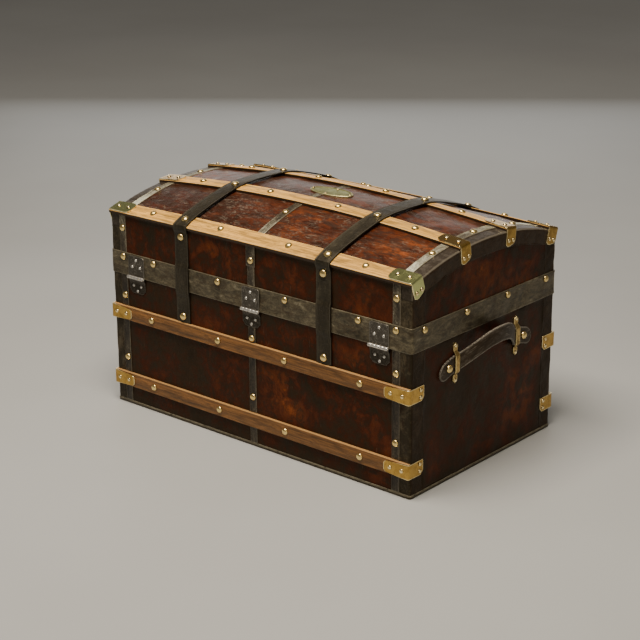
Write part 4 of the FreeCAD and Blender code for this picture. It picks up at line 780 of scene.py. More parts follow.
def seam_strip():
    """Dark brown strip with rubbed raised edges, worn to silver on the dome."""
    make = Finish("seam_strip", metallic=0.4)
    lay = make.attribute("lay")
    clouds = make.noise((50, 20, 30), 4.0, 0.65, 0.4, lay)
    mottle = make.noise((5, 2.5, 4), 4.0, 0.7, 0.2, lay)
    # the silvery tone: partly the strip's worn metal, partly a painted sheen; it also lightens the raised edges
    silver_and_sheen = make.attribute("warm")
    tone = make.sum((clouds, 0.66), (mottle, 0.60), (silver_and_sheen, 0.42), (1.0, -0.18))
    base = make.ramp(tone, (0.36, (0.013, 0.010, 0.0065)), (0.48, (0.036, 0.028, 0.018)),
                     (0.60, (0.085, 0.070, 0.047)), (0.76, (0.28, 0.27, 0.205)), (0.94, (0.66, 0.68, 0.56)))
    edge = make.times(make.edge(0.0006, 0.0020), make.sum((silver_and_sheen, 0.4), (mottle, 0.5)))
    base = make.mix(edge, base, (0.30, 0.26, 0.19))
    normal = make.relief((mottle, 0.2), (make.noise((18, 9, 9), 3.0, 0.5, 0.2, lay), 0.5))
    return make.done(base, make.sum((mottle, 0.3), (clouds, 0.2), (1.0, 0.20)), normal)


def old_brass(name, shade, patina, share, low, high, edge_wear_and_painted_light=(1.0, 0.84, 0.42), edge=0.75):
    """Brass with brown patina in clouds and rubbed edges, its roughness between low and high."""
    make = Finish(name, metallic=1.0)
    clouds = make.noise(16, 4.0, 0.6, 0.7)
    spots = make.noise(3.0, 4.0, 0.7)
    tarnish = make.span(make.sum((clouds, 0.65), (spots, 0.4)), 0.44, 0.66)
    base = make.mix(make.times(tarnish, share), shade, patina)
    # painted reflection: pale green white where the warm attribute is set, on the clips of the back edge slats
    base = make.cover(base, make.attribute("warm"), 0.75, (0.68, 0.79, 0.35))
    # edge colour: rubbed brass on the bridges, stays and plate, a painted highlight on the clips, a painted
    # contact shadow round the nail heads
    base = make.cover(base, make.edge(0.0002, 0.0024), edge, edge_wear_and_painted_light)
    normal = make.relief((make.noise(14, 2.0), 0.4), (make.noise((1.2, 1.2, 6), 3.0), 0.02))
    roughness = make.sum((tarnish, high - low), (spots, 0.08), (1.0, low))
    return make.done(base, roughness, normal)


def old_steel(name, dark, bright, share):
    """Dark iron with bright speckles where the plating is left."""
    make = Finish(name, metallic=0.9)
    speckles = make.noise(2.6, 4.0, 0.75)
    clouds = make.noise(14, 3.0, 0.6, 0.5)
    shine = make.span(make.sum((speckles, 0.7), (clouds, 0.35)), 0.50, 0.68)
    base = make.mix(make.times(shine, share), dark, bright)
    base = make.cover(base, make.edge(0.0002, 0.0014), 0.6, bright)
    normal = make.relief((speckles, 0.15))
    return make.done(base, make.sum((speckles, 0.35), (1.0, 0.18)), normal)


def lining_cloth():
    """Plain woven lining, a little faded and stained, with a hem line near its edges."""
    make = Finish("lining_cloth", sheen=0.25, roughness=0.9)
    lay, rim = make.attribute("lay"), make.attribute("rim")
    warp, weft = (make.made("ShaderNodeTexWave", "Fac", (
        ("Vector", make.scaled(6, lay)), ("Scale", 1.6), ("Distortion", 0.5)), bands_direction=axis)
        for axis in "XY")
    threads = make.sum((warp, 0.5), (weft, 0.5))
    slubs = make.noise((34, 1.8, 2), 3.0, 0.6, 0.2, lay)
    stains = make.noise(90, 5.0, 0.66, 0.9)
    base = make.ramp(make.sum((threads, 0.25), (slubs, 0.45), (stains, 0.75)), (0.50, tint("lining", 0.40)),
                     (0.70, tint("lining", 0.95)), (0.92, tint("lining", 1.40)))
    foxing = make.span(make.noise(24, 5.0, 0.72, 1.0), 0.62, 0.74)
    base = make.cover(base, foxing, 0.45, tint("lining", 0.30))
    hem = make.times(make.span(rim, 0.0085, 0.0095), make.span(rim, 0.0118, 0.0108))
    base = make.cover(base, hem, 0.6, tint("lining", 0.25))
    base = make.mix(make.span(rim, 0.0, 0.060, 0.45, 0.0), base, tint("lining", 0.30))
    normal = make.relief((make.noise((70, 70, 120), 3.0, 0.5, 0.7), 1.6), (threads, 0.15), (slubs, 0.15),
                         (hem, -0.5))
    return make.done(base, make.sum((threads, 0.1), (stains, 0.1), (1.0, 0.78)), normal)


def studio_floor():
    """Plain pale studio floor."""
    make = Finish("studio_floor", roughness=0.6, specular=0.3)
    clouds = make.noise(900, 3.0)
    return make.done(make.ramp(clouds, (0.3, (0.37, 0.385, 0.40)), (0.7, (0.40, 0.42, 0.435))))


SLATS = {
    # colour, share of the edge that is partly worn and partly a painted highlight, facings where the painted
    # shade starts and is full, colour of that edge
    "lid_slat": ("slat", 0.40, (0.42, 0.02), (0.94, 0.68, 0.34)),
    "body_slat": ("body_slat", 0.7, (-0.45, -0.85), (0.46, 0.27, 0.11)),
}
BOARDS = {"long_board": ((420, 14, 14),), "end_board": ((14, 420, 14),)}    # reach of the grain
BRASS = {
    # brass, patina, share of patina, lowest and highest roughness, colour of the edge, its share; the edge colour
    # is a painted highlight on the clips and a painted contact shadow round the nail heads, rubbed brass
    # elsewhere
    "clip_brass": ((0.56, 0.35, 0.085), (0.27, 0.145, 0.030), 0.6, 0.13, 0.24, (1.0, 0.88, 0.52), 0.85),
    "bridge_brass": ((0.58, 0.40, 0.14), (0.16, 0.09, 0.03), 0.8, 0.26, 0.46),
    "nail_brass": ((0.92, 0.71, 0.31), (0.56, 0.39, 0.13), 0.4, 0.17, 0.26, (0.030, 0.018, 0.007), 0.9),
    "clip_nail_brass": ((0.98, 0.82, 0.46), (0.80, 0.58, 0.24), 0.4, 0.16, 0.24, (0.06, 0.034, 0.010), 0.85),
    "plate_brass": ((0.37, 0.37, 0.100), (0.19, 0.16, 0.055), 0.7, 0.34, 0.48, (0.85, 0.80, 0.46)),
    "stay_brass": ((0.62, 0.42, 0.15), (0.22, 0.13, 0.045), 0.7, 0.26, 0.44),
}
STEEL = {
    # iron, plating, share of the plating
    "hinge_steel": ((0.075, 0.067, 0.055), (0.34, 0.32, 0.28), 0.6),
    "hinge_low_steel": ((0.030, 0.025, 0.018), (0.19, 0.175, 0.15), 0.45),
    "barrel_steel": ((0.55, 0.54, 0.52), (0.90, 0.90, 0.88), 0.7),
    "lock_steel": ((0.14, 0.135, 0.125), (0.52, 0.50, 0.47), 0.5),
}
MAKERS = {maker.__name__: maker for maker in (
    panel_leather, dome_leather, corner_leather, binding_leather, welt_leather, strap_leather,
    handle_leather, band_metal, seam_strip, lining_cloth, studio_floor)}
for maker, table in ((slat_wood, SLATS), (board_wood, BOARDS), (old_brass, BRASS), (old_steel, STEEL)):
    for name, values in table.items():
        MAKERS[name] = partial(maker, name, *values)


# ---------------------------------------------------------------- leather
WARM_SPOTS = (
    # middle (x, y, z), reach, strength: where the leather is rubbed warm (or gone dark, below zero)
    (-430, -120, 95, 75, 1.0), (-430, -150, 150, 50, 0.8), (-430, -215, 205, 55, 1.2), (-430, 60, 90, 60, 0.35),
    (-430, 20, 420, 130, 0.9), (-430, -130, 400, 100, 0.8), (-430, 150, 180, 90, -0.5), (-430, 60, 160, 60, -0.3),
    (100, 252, 410, 85, 1.0), (330, 252, 400, 80, 0.6), (230, 252, 420, 60, 0.5), (-90, 252, 410, 90, 0.5),
    (-300, 252, 400, 55, 0.5), (100, 252, 260, 110, 0.4), (300, 252, 160, 80, 0.3), (90, 252, 150, 80, 0.2),
    (-110, 252, 150, 75, 1.0), (-60, 252, 140, 50, 0.6), (-290, 252, 190, 60, 0.9), (-330, 252, 120, 60, 0.5),
    (-300, 252, 270, 60, 0.7), (-100, 252, 270, 80, 0.4), (-70, 160, 510, 80, 0.9), (-330, 160, 500, 90, 0.8),
    (110, 160, 510, 90, 0.3), (300, 150, 500, 80, -0.3), (330, 0, 510, 90, 0.3), (-120, 0, 520, 90, 0.2),
    (-320, 0, 510, 90, 0.4), (430, 60, 110, 90, 0.9), (430, -100, 200, 80, 0.7), (430, 0, 420, 120, 0.8),
    (-60, -252, 160, 90, 0.9), (230, -252, 120, 90, 0.7), (-280, -252, 210, 80, 0.7), (120, -252, 410, 90, 0.9),
    (-120, -252, 410, 80, 0.6), (330, -252, 410, 80, 0.7), (-330, -252, 410, 80, 0.7), (-150, -160, 510, 90, 0.1),
    (200, -160, 510, 90, 0.3), (-330, -170, 500, 90, -0.5), (-180, 90, 515, 70, 0.5),
)


def warmth(points):
    """How warm the leather is rubbed at each point."""
    total = np.zeros(points.shape[:-1])
    for x, y, z, reach, strength in WARM_SPOTS:
        gap = ((points - (x, y, z)) ** 2).sum(-1)
        total += strength * np.exp(-gap / (2 * (reach * 0.6) ** 2))
    return total


def wall_part(pile, start, end, low, high, thick, edge=0.6, step=6.0, lift=0.0, relief=None, closed=False,
              more_across=(), warm=False, top_rows=()):
    """A part that follows the trunk's outline from start to end, between two heights (numbers or functions)."""
    turn, whole = ARC * sizes("corner"), 2 * places_along()[1]
    if closed:
        marks = [0.0, *(mark for corner in corner_starts() for mark in (corner, corner + turn)), whole]
        run = np.concatenate([
            np.linspace(a, b, 6 if b - a < turn + 0.1 else max(2, int((b - a) / step)), endpoint=False)
            for a, b in zip(marks[:-1], marks[1:])])
    else:
        bends = [corner + lap + turn * k / 6 - start
                 for corner in corner_starts() for lap in (0.0, -whole) for k in range(7)]
        run = start + spread(end - start, step, edge, bends)
    point, out = wall_line(run)
    low, high = (line(point[:, 0], point[:, 1]) if callable(line) else np.full(len(run), float(line))
                 for line in (low, high))
    tallest = float((high - low).max())
    crowded = max((edge, *top_rows))
    shares = spread(tallest, step, edge, [*more_across, *(tallest - d for d in top_rows)])
    middle = (shares - edge) / (tallest - edge - crowded)
    rows = low[:, None] + edge + middle * ((high - low)[:, None] - edge - crowded)
    rows = np.where(shares <= edge, low[:, None] + shares, rows)
    rows = np.where(shares >= tallest - crowded, high[:, None] - (tallest - shares), rows)
    base = np.empty(rows.shape + (3,))
    base[..., :2] = (point + out * lift)[:, None, :]
    base[..., 2] = rows
    facing = np.zeros_like(base)
    facing[..., :2] = out[:, None, :]
    uneven = relief(base) if relief is not None else None
    pile.slab(base, facing, thick, edge, closed=closed, relief=uneven, warm=warmth(base) if warm else None)


def skin(seed, depth=0.45, reach=55.0):
    """Slight hollows of a leather covering."""
    return lambda p: depth * (ripple(p, reach, seed) - 0.75) + depth * 0.35 * ripple(p, reach * 0.3, seed + 1)


def body_leather_pieces():
    """The body's leather panels, corner leathers and the welt round the bottom edge."""
    seam, skin_thick = sizes("seam"), sizes("leather")
    long, ends = panel_spans()
    panels = Pile()
    for index, (start, end) in enumerate((long[0], ends[0], long[1], long[2], ends[1], long[3])):
        wall_part(panels, start, end, 0.0, seam, skin_thick, lift=-skin_thick, relief=skin(index + 3), warm=True)
    panels.settle("body_leather", "panel_leather", "trunk_body", "panel_leather", "body_leather_panels")
    corners = Pile()
    for index, (a, b) in enumerate(corner_spans()):
        wall_part(corners, a, b, 0.3, seam, skin_thick + 0.5, lift=-skin_thick, step=5.0,
                  relief=skin(index + 20, 0.35, 30.0))
    corners.settle("body_corners", "corner_leather", "trunk_body", "corner_leather", "body_corner_leathers")
    welt = Pile()

    def rolled(p):
        return 0.9 * np.exp(-((p[..., 2] - WELT * 0.52) / 2.1) ** 2) + 0.15 * ripple(p, 16.0, 41)

    wall_part(welt, 0.0, 2 * places_along()[1], 0.0, WELT, 1.3, edge=0.7, step=7.0, closed=True, relief=rolled,
              more_across=[1.6, 2.6, 3.4, 4.2, 5.0, 5.8, 6.6])
    welt.settle("welt", "welt_leather", "trunk_body", "corner_leather", "bottom_welt")


def lid_leather_pieces():
    """The lid's wall panels, corner leathers, dome leathers and the bindings on the dome's end edges."""
    foot, thick, drop = sizes("lid_foot"), sizes("leather"), 35.0
    long, ends = panel_spans()
    panels = Pile()

    def under_slat(x, y):
        return dome_height(x, np.clip(y, -HALF_Y, HALF_Y), -0.6)

    def under_binding(x, y):
        return dome_height(x, y, 0.0) - drop + 3.0

    def tucked(seed):
        """Unevenness of a wall panel whose top edge is tucked in and turned over below the slat."""
        uneven = skin(seed)

        def relief(p):
            below = under_slat(p[..., 0], p[..., 1]) - p[..., 2]
            return (uneven(p) * np.clip(below / 14, 0.2, 1) - 1.5 * np.exp(-((below - 1.0) / 1.7) ** 2)
                    + 0.75 * np.exp(-((below - 4.6) / 1.3) ** 2))
        return relief

    for index, (a, b) in enumerate(long):
        wall_part(panels, a, b, foot, under_slat, thick, lift=-thick, relief=tucked(index + 50), warm=True,
                  top_rows=(1.2, 2.0, 2.8, 3.4, 4.0, 4.6, 5.2, 5.8, 6.6, 8.0))
    for index, (a, b) in enumerate(ends):
        wall_part(panels, a, b, foot, under_binding, thick, lift=-thick, relief=skin(index + 60), warm=True)
    panels.settle("lid_wall_leather", "panel_leather", "lid", "panel_leather", "lid_wall_leathers")

    corners = Pile()
    for index, (a, b) in enumerate(corner_spans()):
        wall_part(corners, a, b, foot, under_binding, thick + 0.4, lift=-thick, step=4.0,
                  relief=skin(index + 70, 0.45, 22.0))
    corners.settle("lid_corners", "corner_leather", "lid", "corner_leather", "lid_corner_leathers")

    top = Pile()
    for side in SIDES:
        x = side * spread(CORNER_SIDE, 6.0, 0.6)
        y = spread(2 * HALF_Y, 5.0, 0.6) - HALF_Y
        grid_x, grid_y = np.meshgrid(x, y, indexing="ij")
        base = np.stack([grid_x, grid_y, dome_height(grid_x, grid_y, -thick)], -1)
        hollow = 0.55 * (ripple(base, 60.0, 80 + side) - 0.9) + 0.2 * ripple(base, 17.0, 84 + side) - 0.1
        top.slab(base, dome_out(grid_x, grid_y), thick, 0.6, relief=hollow, warm=warmth(base))
    top.settle("dome_leather", "dome_leather", "lid", "panel_leather", "dome_leathers")

    bindings = Pile()
    for side in SIDES:
        binding_part(bindings, side, drop, thick + 0.45)
    bindings.settle("dome_bindings", "binding_leather", "lid", "corner_leather", "dome_edge_bindings")


def binding_part(pile, side, drop, thick):
    """The cap of leather over one end of the dome: on top, round the edge and down the end face."""
    bend, crown_radius, crown_depth = 5.0, 768.0, 740.0    # the edge's rounding, and the arch of the end edge
    eave = float(dome_height(HALF_X, HALF_Y - bend))
    rise = np.linspace(eave - drop + 2, eave - bend, 9)[:-1]
    turn = np.linspace(0, 1, 5)
    slope = math.atan2(HALF_Y, crown_depth)
    across = HALF_Y - bend
    arc_y = np.linspace(across, -across, 96)
    side_points = [(HALF_Y, z, 1.0, 0.0) for z in rise]
    top_angle = ARC - slope
    for share in turn:
        angle = share * top_angle
        side_points.append((HALF_Y - bend + bend * math.cos(angle), eave - bend + bend * math.sin(angle),
                            math.cos(angle), math.sin(angle)))
    half_line = np.array(side_points)
    other = half_line[::-1] * (-1, 1, -1, 1)
    y = np.concatenate([half_line[:, 0], arc_y[1:-1], other[:, 0]])
    count = len(half_line)
    heights = np.concatenate([half_line[:, 1], dome_height(HALF_X, arc_y[1:-1]), other[:, 1]])
    out_y = np.concatenate([half_line[:, 2], np.sin(arc_y[1:-1] / crown_radius), other[:, 2]])
    out_z = np.sqrt(np.maximum(1 - out_y ** 2, 0))
    run = np.concatenate([[0], np.cumsum(np.hypot(np.diff(y), np.diff(heights)))])
    total = run[-1]
    reach = drop + 110
    inner_y = y.copy()
    near = np.minimum(run, total - run) < reach
    start_y = HALF_Y - 1.5
    mark_y = float(np.interp(reach, run, y))
    low = np.interp(np.minimum(run, total - run), [0, reach], [start_y, mark_y])
    inner_y[near] = (np.sign(y) * low)[near]
    inner_z = dome_height(HALF_X, inner_y) - drop
    edge_stations = CORNER_SIDE + np.array([1.0, 1.15, 1.5, 2.2, 4, 8, 13, 18, HALF_X - bend - CORNER_SIDE])
    columns, facing = [], []
    for x in edge_stations:
        shift = dome_height(x, y) - dome_height(HALF_X, y)
        on_wall = np.abs(out_y) > 0.98
        z = heights + np.where(on_wall, 0, shift)
        z[:count] = heights[:count] + shift[:count] * np.linspace(0, 1, count)
        z[-count:] = heights[-count:] + shift[-count:] * np.linspace(1, 0, count)
        columns.append(np.stack([np.full_like(y, side * x), y, z], -1))
        facing.append(np.stack([np.zeros_like(y), out_y, out_z], -1))
    for share in (0.25, 0.5, 0.75, 1.0):
        angle = share * ARC
        inward = bend * (1 - math.cos(angle))
        columns.append(np.stack([np.full_like(y, side * (HALF_X - bend + bend * math.sin(angle))),
                                 y - out_y * inward, heights - out_z * inward], -1))
        facing.append(np.stack([np.full_like(y, side * math.sin(angle)), out_y * math.cos(angle),
                                out_z * math.cos(angle)], -1))
    outline = np.stack([y - out_y * bend, heights - out_z * bend], -1)
    inner = np.stack([inner_y, inner_z], -1)
    for share in (0.12, 0.25, 0.4, 0.55, 0.7, 0.85, 0.95, 0.985, 1.0):
        spot = outline + (inner - outline) * share
        columns.append(np.stack([np.full_like(y, side * HALF_X), spot[:, 0], spot[:, 1]], -1))
        facing.append(np.stack([np.full_like(y, side), y * 0, y * 0], -1))
    surface = np.stack(columns, 1)
    out = unit(np.stack(facing, 1))
    folds = 0.35 * (ripple(surface, 26.0, 95 + side) - 0.6) + 0.2 * ripple(surface, 9.0, 97 + side)
    pile.slab(surface - out * sizes("leather"), out, thick, 0.7, relief=folds)


# ---------------------------------------------------------------- strips, band and slats
STRIP_ROWS = mirrored(1.5, 4, 6.4, 7.4, 8.0, 8.5, 9.0, 9.5, 9.85, 10)


def strip_relief(across, half):
    """Raised lines along both edges of a strip."""
    return 0.75 * np.exp(-((np.abs(across) - (half - 1.5)) / 0.8) ** 2)


def wall_strip(pile, x, side, low, high, half=10.0, thick=1.0, lift=0.0, silver_and_sheen=0.0):
    """One upright stretch of seam strip on a long face."""
    v = STRIP_ROWS / 10 * half
    z = low + spread(high - low, 7.0, 0.4)
    rows, across = np.meshgrid(z, v, indexing="ij")
    base = np.stack([x + across + 0.35 * ripple(np.stack([rows * 0, rows * 0, rows], -1), 70, int(x) % 97 + side),
                     np.full_like(rows, side * (HALF_Y + lift)), rows], -1)
    relief = strip_relief(across, half) + 0.18 * ripple(base, 25.0, int(abs(x)) + side)
    pile.slab(base, np.array([0.0, side, 0.0]), thick, 0.4, relief=relief, warm=np.full(rows.shape, silver_and_sheen))


def dome_strip(pile, x, low, high, silver_and_sheen):
    """One stretch of seam strip over the dome between two slats."""
    y = low + spread(high - low, 6.0, 0.4)
    grid_y, across = np.meshgrid(y, STRIP_ROWS, indexing="ij")
    grid_x = x + across
    base = np.stack([grid_x, grid_y, dome_height(grid_x, grid_y)], -1)
    relief = strip_relief(across, 10.0) + 0.2 * ripple(base, 25.0, int(abs(x)) + int(low) % 7)
    # partly worn metal, partly a painted sheen: the silvery tone grows brighter towards the dome's long edges
    wear_and_sheen = silver_and_sheen * (0.55 + 0.45 * np.clip((np.abs(grid_y) - 125) / 60, 0, 1))
    pile.slab(base, dome_out(grid_x, grid_y), 1.0, 0.4, relief=relief, warm=wear_and_sheen)


def plate_gap(y_low, y_high, x):
    """The stretches of a dome strip that the oval plate leaves free."""
    middle_x, half_long, half_wide = OVAL_PLATE
    if abs(x - middle_x) > half_long or y_low > 0 or y_high < 0:
        return [(y_low, y_high)]
    reach = half_wide * math.sqrt(1 - ((x - middle_x) / half_long) ** 2) - 1.0
    return [(y_low, -reach), (reach, y_high)]


def strip_pieces():
    """The seam strips on the body, the lid's walls and the dome."""
    seam, band_top = sizes("seam"), sizes("band_top")
    half_slat = sizes("slat_width") / 2
    body = Pile()
    for side in SIDES:
        upper = upper_slat(side)
        for x in STRIP_PLACES:
            top = seam
            if x == 0:
                top = seam - 38 if side > 0 else 242.0
            for low, high in ((WELT, LOW_SLAT - half_slat), (LOW_SLAT + half_slat, upper - half_slat),
                              (upper + half_slat, top)):
                wall_strip(body, x, side, low, high)
    body.settle("body_strips", "seam_strip", "trunk_body", "seam_strip", "body_seam_strips")
    lid = Pile()
    for x in STRIP_PLACES:
        # how silvery each strip is: partly worn metal, partly a painted sheen
        silver_and_sheen = 1.05 if x else 0.45
        for side in SIDES:
            eave = float(dome_height(x, HALF_Y, -2.2))
            wall_strip(lid, x, side, band_top - 1.0, eave, silver_and_sheen=0.30)
            if x == 0:
                wall_strip(lid, x, side, eave - 46, eave, half=12.5, lift=0.8, silver_and_sheen=0.16)
        rows = slat_rows()
        for upper_row, lower_row in zip(rows[:-1], rows[1:]):
            for low, high in plate_gap(lower_row[2] - 0.5, upper_row[1] + 0.5, x):
                dome_strip(lid, x, low, high, silver_and_sheen)
    lid.settle("lid_strips", "seam_strip", "lid", "seam_strip", "lid_seam_strips")


def band_piece():
    """The metal band round the foot of the lid, a little dented, with a lap joint at the front."""
    front = places_along()[1]
    foot, top = sizes("lid_foot"), sizes("band_top")

    def dents(p):
        lines = 0.35 * np.exp(-((p[..., 2] - (top - 2.6)) / 1.2) ** 2)
        lines += 0.30 * np.exp(-((p[..., 2] - (foot + 2.8)) / 1.3) ** 2)
        lap = 0.5 * (1 / (1 + np.exp(-(p[..., 0] - 150) / 0.6))) * (p[..., 1] < -HALF_Y + 10) * (p[..., 0] < 190)
        return lines + lap - 0.65 * np.clip(ripple(p, 34.0, 110), 0, 2) + 0.10 * ripple(p, 12.0, 112)
    pile = Pile()
    wall_part(pile, 0.0, 2 * front, foot, top, 2.5, edge=0.6, step=6.0, closed=True, relief=dents,
              more_across=[1.6, 2.8, 4.0, 49.0, 50.4, 51.6])
    pile.settle("rim_band", "band_metal", "lid", "band_metal", "rim_band")


def slat_rows():
    """The lid's slats: node name, low and high edge across the trunk, from the back edge to the front edge."""
    half = sizes("slat_width") / 2
    middles = (("lid_back_edge_slat", 240.5), ("lid_back_dome_slat", 81.0), ("lid_front_dome_slat", -81.0),
               ("lid_front_edge_slat", -240.5))
    return [(name, middle - half, middle + half) for name, middle in middles]


def wood_wear(along, across, half, seed):
    """Unevenness of a hand planed slat and nicks along its edges."""
    p = np.stack([along, across * 2.5, along * 0], -1)
    waves = 0.16 * ripple(p, 130.0, seed) + 0.07 * ripple(p, 30.0, seed + 1)
    nicks = np.clip(ripple(np.stack([along, along * 0, np.sign(across) * 40], -1), 17.0, seed + 2) - 1.15, 0, 1)
    return (waves - 0.05 - 1.7 * (across / half) ** 2
            - 1.6 * nicks * np.clip((np.abs(across) - half + 3.2) / 3.2, 0, 1))


def slat_pieces():
    """The four slats of the body and the four slats bent over the lid."""
    half = sizes("slat_width") / 2
    thick = sizes("slat_height")
    x = spread(2 * HALF_X, 6.0, 1.2) - HALF_X
    v = spread(2 * half, 3.0, 2.2) - half
    along, across = np.meshgrid(x, v, indexing="ij")
    for index, (node, side, height) in enumerate((
            ("back_upper_slat", 1, upper_slat(1)), ("back_lower_slat", 1, LOW_SLAT),
            ("front_upper_slat", -1, upper_slat(-1)), ("front_lower_slat", -1, LOW_SLAT))):
        pile = Pile()
        base = np.stack([along, np.full_like(along, side * HALF_Y), height + across], -1)
        relief = wood_wear(along, across, half, 200 + 5 * index)
        pile.slab(base, np.array([0.0, side, 0.0]), thick, 2.2, relief=relief)
        pile.settle("slat_" + node[:-5], "body_slat", "trunk_body", "slat_wood", node)
    for index, (node, low, high) in enumerate(slat_rows()):
        pile = Pile()
        y = across + (low + high) / 2
        foot = dome_height(along, y)
        tall = dome_height(along, y, thick) - foot
        base = np.stack([along, y, foot], -1)
        relief = wood_wear(along, across, half, 240 + 5 * index) + tall - thick
        pile.slab(base, np.array([0.0, 0.0, 1.0]), thick, 1.7, relief=relief)
        pile.settle("slat_" + node[:-5], "lid_slat", "lid", "slat_wood", node)


# ---------------------------------------------------------------- straps
def strap_path(x):
    """The inner line (y, z) of a strap at one place along the trunk, from the front's foot to the back."""
    slat, gap, deepest = sizes("slat_height"), 0.3, 2.1
    edge = 257.0                                            # outer side of the edge slats
    bays = ((-160.5, 63.0), (0.0, 64.5), (160.5, 63.0))     # between slats: middle and half width
    band, wall = 254.5 + gap, HALF_Y + gap
    foot, band_top, seam = sizes("lid_foot"), sizes("band_top"), sizes("seam")
    slat_foot = float(dome_height(x, edge))
    slat_top = float(dome_height(x, edge, slat))
    front = [(-band, foot + 0.4), (-band, foot + 20), (-band, band_top - 12), (-band, band_top + 1),
             (-wall, band_top + 9), (-wall, band_top + 30), (-wall, slat_foot - 30),
             (-wall - 0.4, slat_foot - 10), (-edge, slat_foot - 2), (-edge, slat_foot + 3),
             (-edge, slat_top - 0.5)]
    over = []
    for y in np.linspace(-edge + 1.2, edge - 1.2, 61):
        sag = deepest * max(0.0, *(1 - ((y - middle) / half) ** 2 for middle, half in bays))
        over.append((y, float(dome_height(x, y, slat + 0.1)) - sag))
    back = [(-y, z) for y, z in front[::-1]][:-1]
    back += [(band, seam - 4), (wall + 0.2, seam - 14), (wall, seam - 22), (wall, seam - 45), (wall, 240.4)]
    return np.array(front + over + back)


def smooth_line(points, step, keep=2.2):
    """Points spaced evenly along a line, its corners eased."""
    gaps = np.linalg.norm(np.diff(points, axis=0), axis=1)
    run = np.concatenate([[0], np.cumsum(gaps)])
    count = int(run[-1] / step)
    fine = np.linspace(0, run[-1], count * 4 + 1)
    line = np.stack([np.interp(fine, run, points[:, k]) for k in range(points.shape[1])], -1)
    width = max(1, int(keep / (run[-1] / (count * 4))))
    kernel = np.hanning(2 * width + 3)[1:-1]
    kernel /= kernel.sum()
    for k in range(line.shape[1]):
        padded = np.concatenate([2 * line[0, k] - line[width:0:-1, k], line[:, k],
                                 2 * line[-1, k] - line[-2:-width - 2:-1, k]])
        line[:, k] = np.convolve(padded, kernel, mode="valid")
    return line[::4]


def strap_pieces():
    """Both straps, each one length of leather from the front's foot over the dome to the back's upper slat."""
    half = sizes("strap_width") / 2
    v = mirrored(0.1, 0.35, 0.6, 0.78, 0.84, 0.87, 0.90, 0.93, 0.955, 0.985, 1) * half
    pile = Pile()
    for side in SIDES:
        middle = side * sizes("strap_offset")
        lines = [smooth_line(strap_path(middle + offset), 4.0) for offset in v]
        count = min(len(line) for line in lines)
        columns, facing = [], []
        for offset, line in zip(v, lines):
            spots = np.linspace(0, len(line) - 1, count)
            index = np.arange(len(line))
            line = np.stack([np.interp(spots, index, line[:, k]) for k in (0, 1)], -1)
            head = unit(np.gradient(line, axis=0))
            columns.append(np.stack([np.full(count, middle + offset), line[:, 0], line[:, 1]], -1))
            facing.append(np.stack([np.zeros(count), -head[:, 1], head[:, 0]], -1))
        base, out = np.stack(columns, 1), np.stack(facing, 1)
        across = np.broadcast_to(v, base.shape[:2])
        relief = -0.38 * np.exp(-((np.abs(across) - half + 3.2) / 0.55) ** 2)
        relief = relief + 0.12 * ripple(base, 24.0, 300 + side) - 0.12
        pile.slab(base, out, 3.0, 0.8, relief=relief)
    straps = pile.make("straps", finish("strap_leather"))
    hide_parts("lid_straps", "back_strap_ends")
    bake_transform(straps)


# ---------------------------------------------------------------- clips
def clip_across(half):
    """Places across a clip, close together at its edges."""
    return from_edges(half, 0, 0.12, 0.4, 0.8, 1.6, 3, 5, 8, 11, 14)


def nose(v, half, radius):
    """How far a rounded end draws back at each place across."""
    over = np.clip(np.abs(v) - (half - radius), 0, radius)
    return radius - np.sqrt(np.maximum(radius ** 2 - over ** 2, 0))


def clip_runs():
    """Shares of a clip's two legs for each row, and how far round the bend each row lies."""
    ease = np.array([0, 0.004, 0.015, 0.035, 0.07, 0.13, 0.22, 0.34, 0.46, 0.58, 0.70, 0.82, 0.92, 1.0])
    rows = [("first", s, 0.0) for s in ease]
    rows += [("bend", 0.0, t) for t in (0.2, 0.4, 0.6, 0.8)]
    rows += [("second", s, 1.0) for s in 1 - ease[::-1]]
    return rows


def body_clip(pile, side_x, side_y, height):
    """An angle clip over one end of a body slat."""
    half, length, leg, ease = sizes("slat_width") / 2, 60.0, 44.0, 2.8
    v = clip_across(half)
    begin = -length + nose(v, half, 9.0)
    end = leg - np.clip(8.0 - (v + half), 0, 8.0) - nose(v, half, 1.2) * (v > 0)
    face = HALF_Y + sizes("slat_height")
    rows, facing = [], []
    for part, share, turn in clip_runs():
        angle = turn * ARC
        out = np.array([math.sin(angle), math.cos(angle)])
        spot = np.array([HALF_X - ease, face - ease]) + out * ease
        line = np.repeat(spot[None], len(v), 0)
        if part == "first":
            line = line + np.outer(begin * (1 - share), (1, 0))
        if part == "second":
            line = line + np.outer(end * share, (0, -1))
        narrow = 1 - 0.24 * (1 - share) if part == "first" else 1.0
        rows.append(np.stack([side_x * line[:, 0], side_y * line[:, 1], height + v * narrow], -1))
        facing.append(np.repeat([[side_x * out[0], side_y * out[1], 0.0]], len(v), 0))
    base, out = np.stack(rows), np.stack(facing)
    pile.slab(base, out, 2.0, 0.5, relief=0.1 * ripple(base, 12.0, pile.parts + 400))


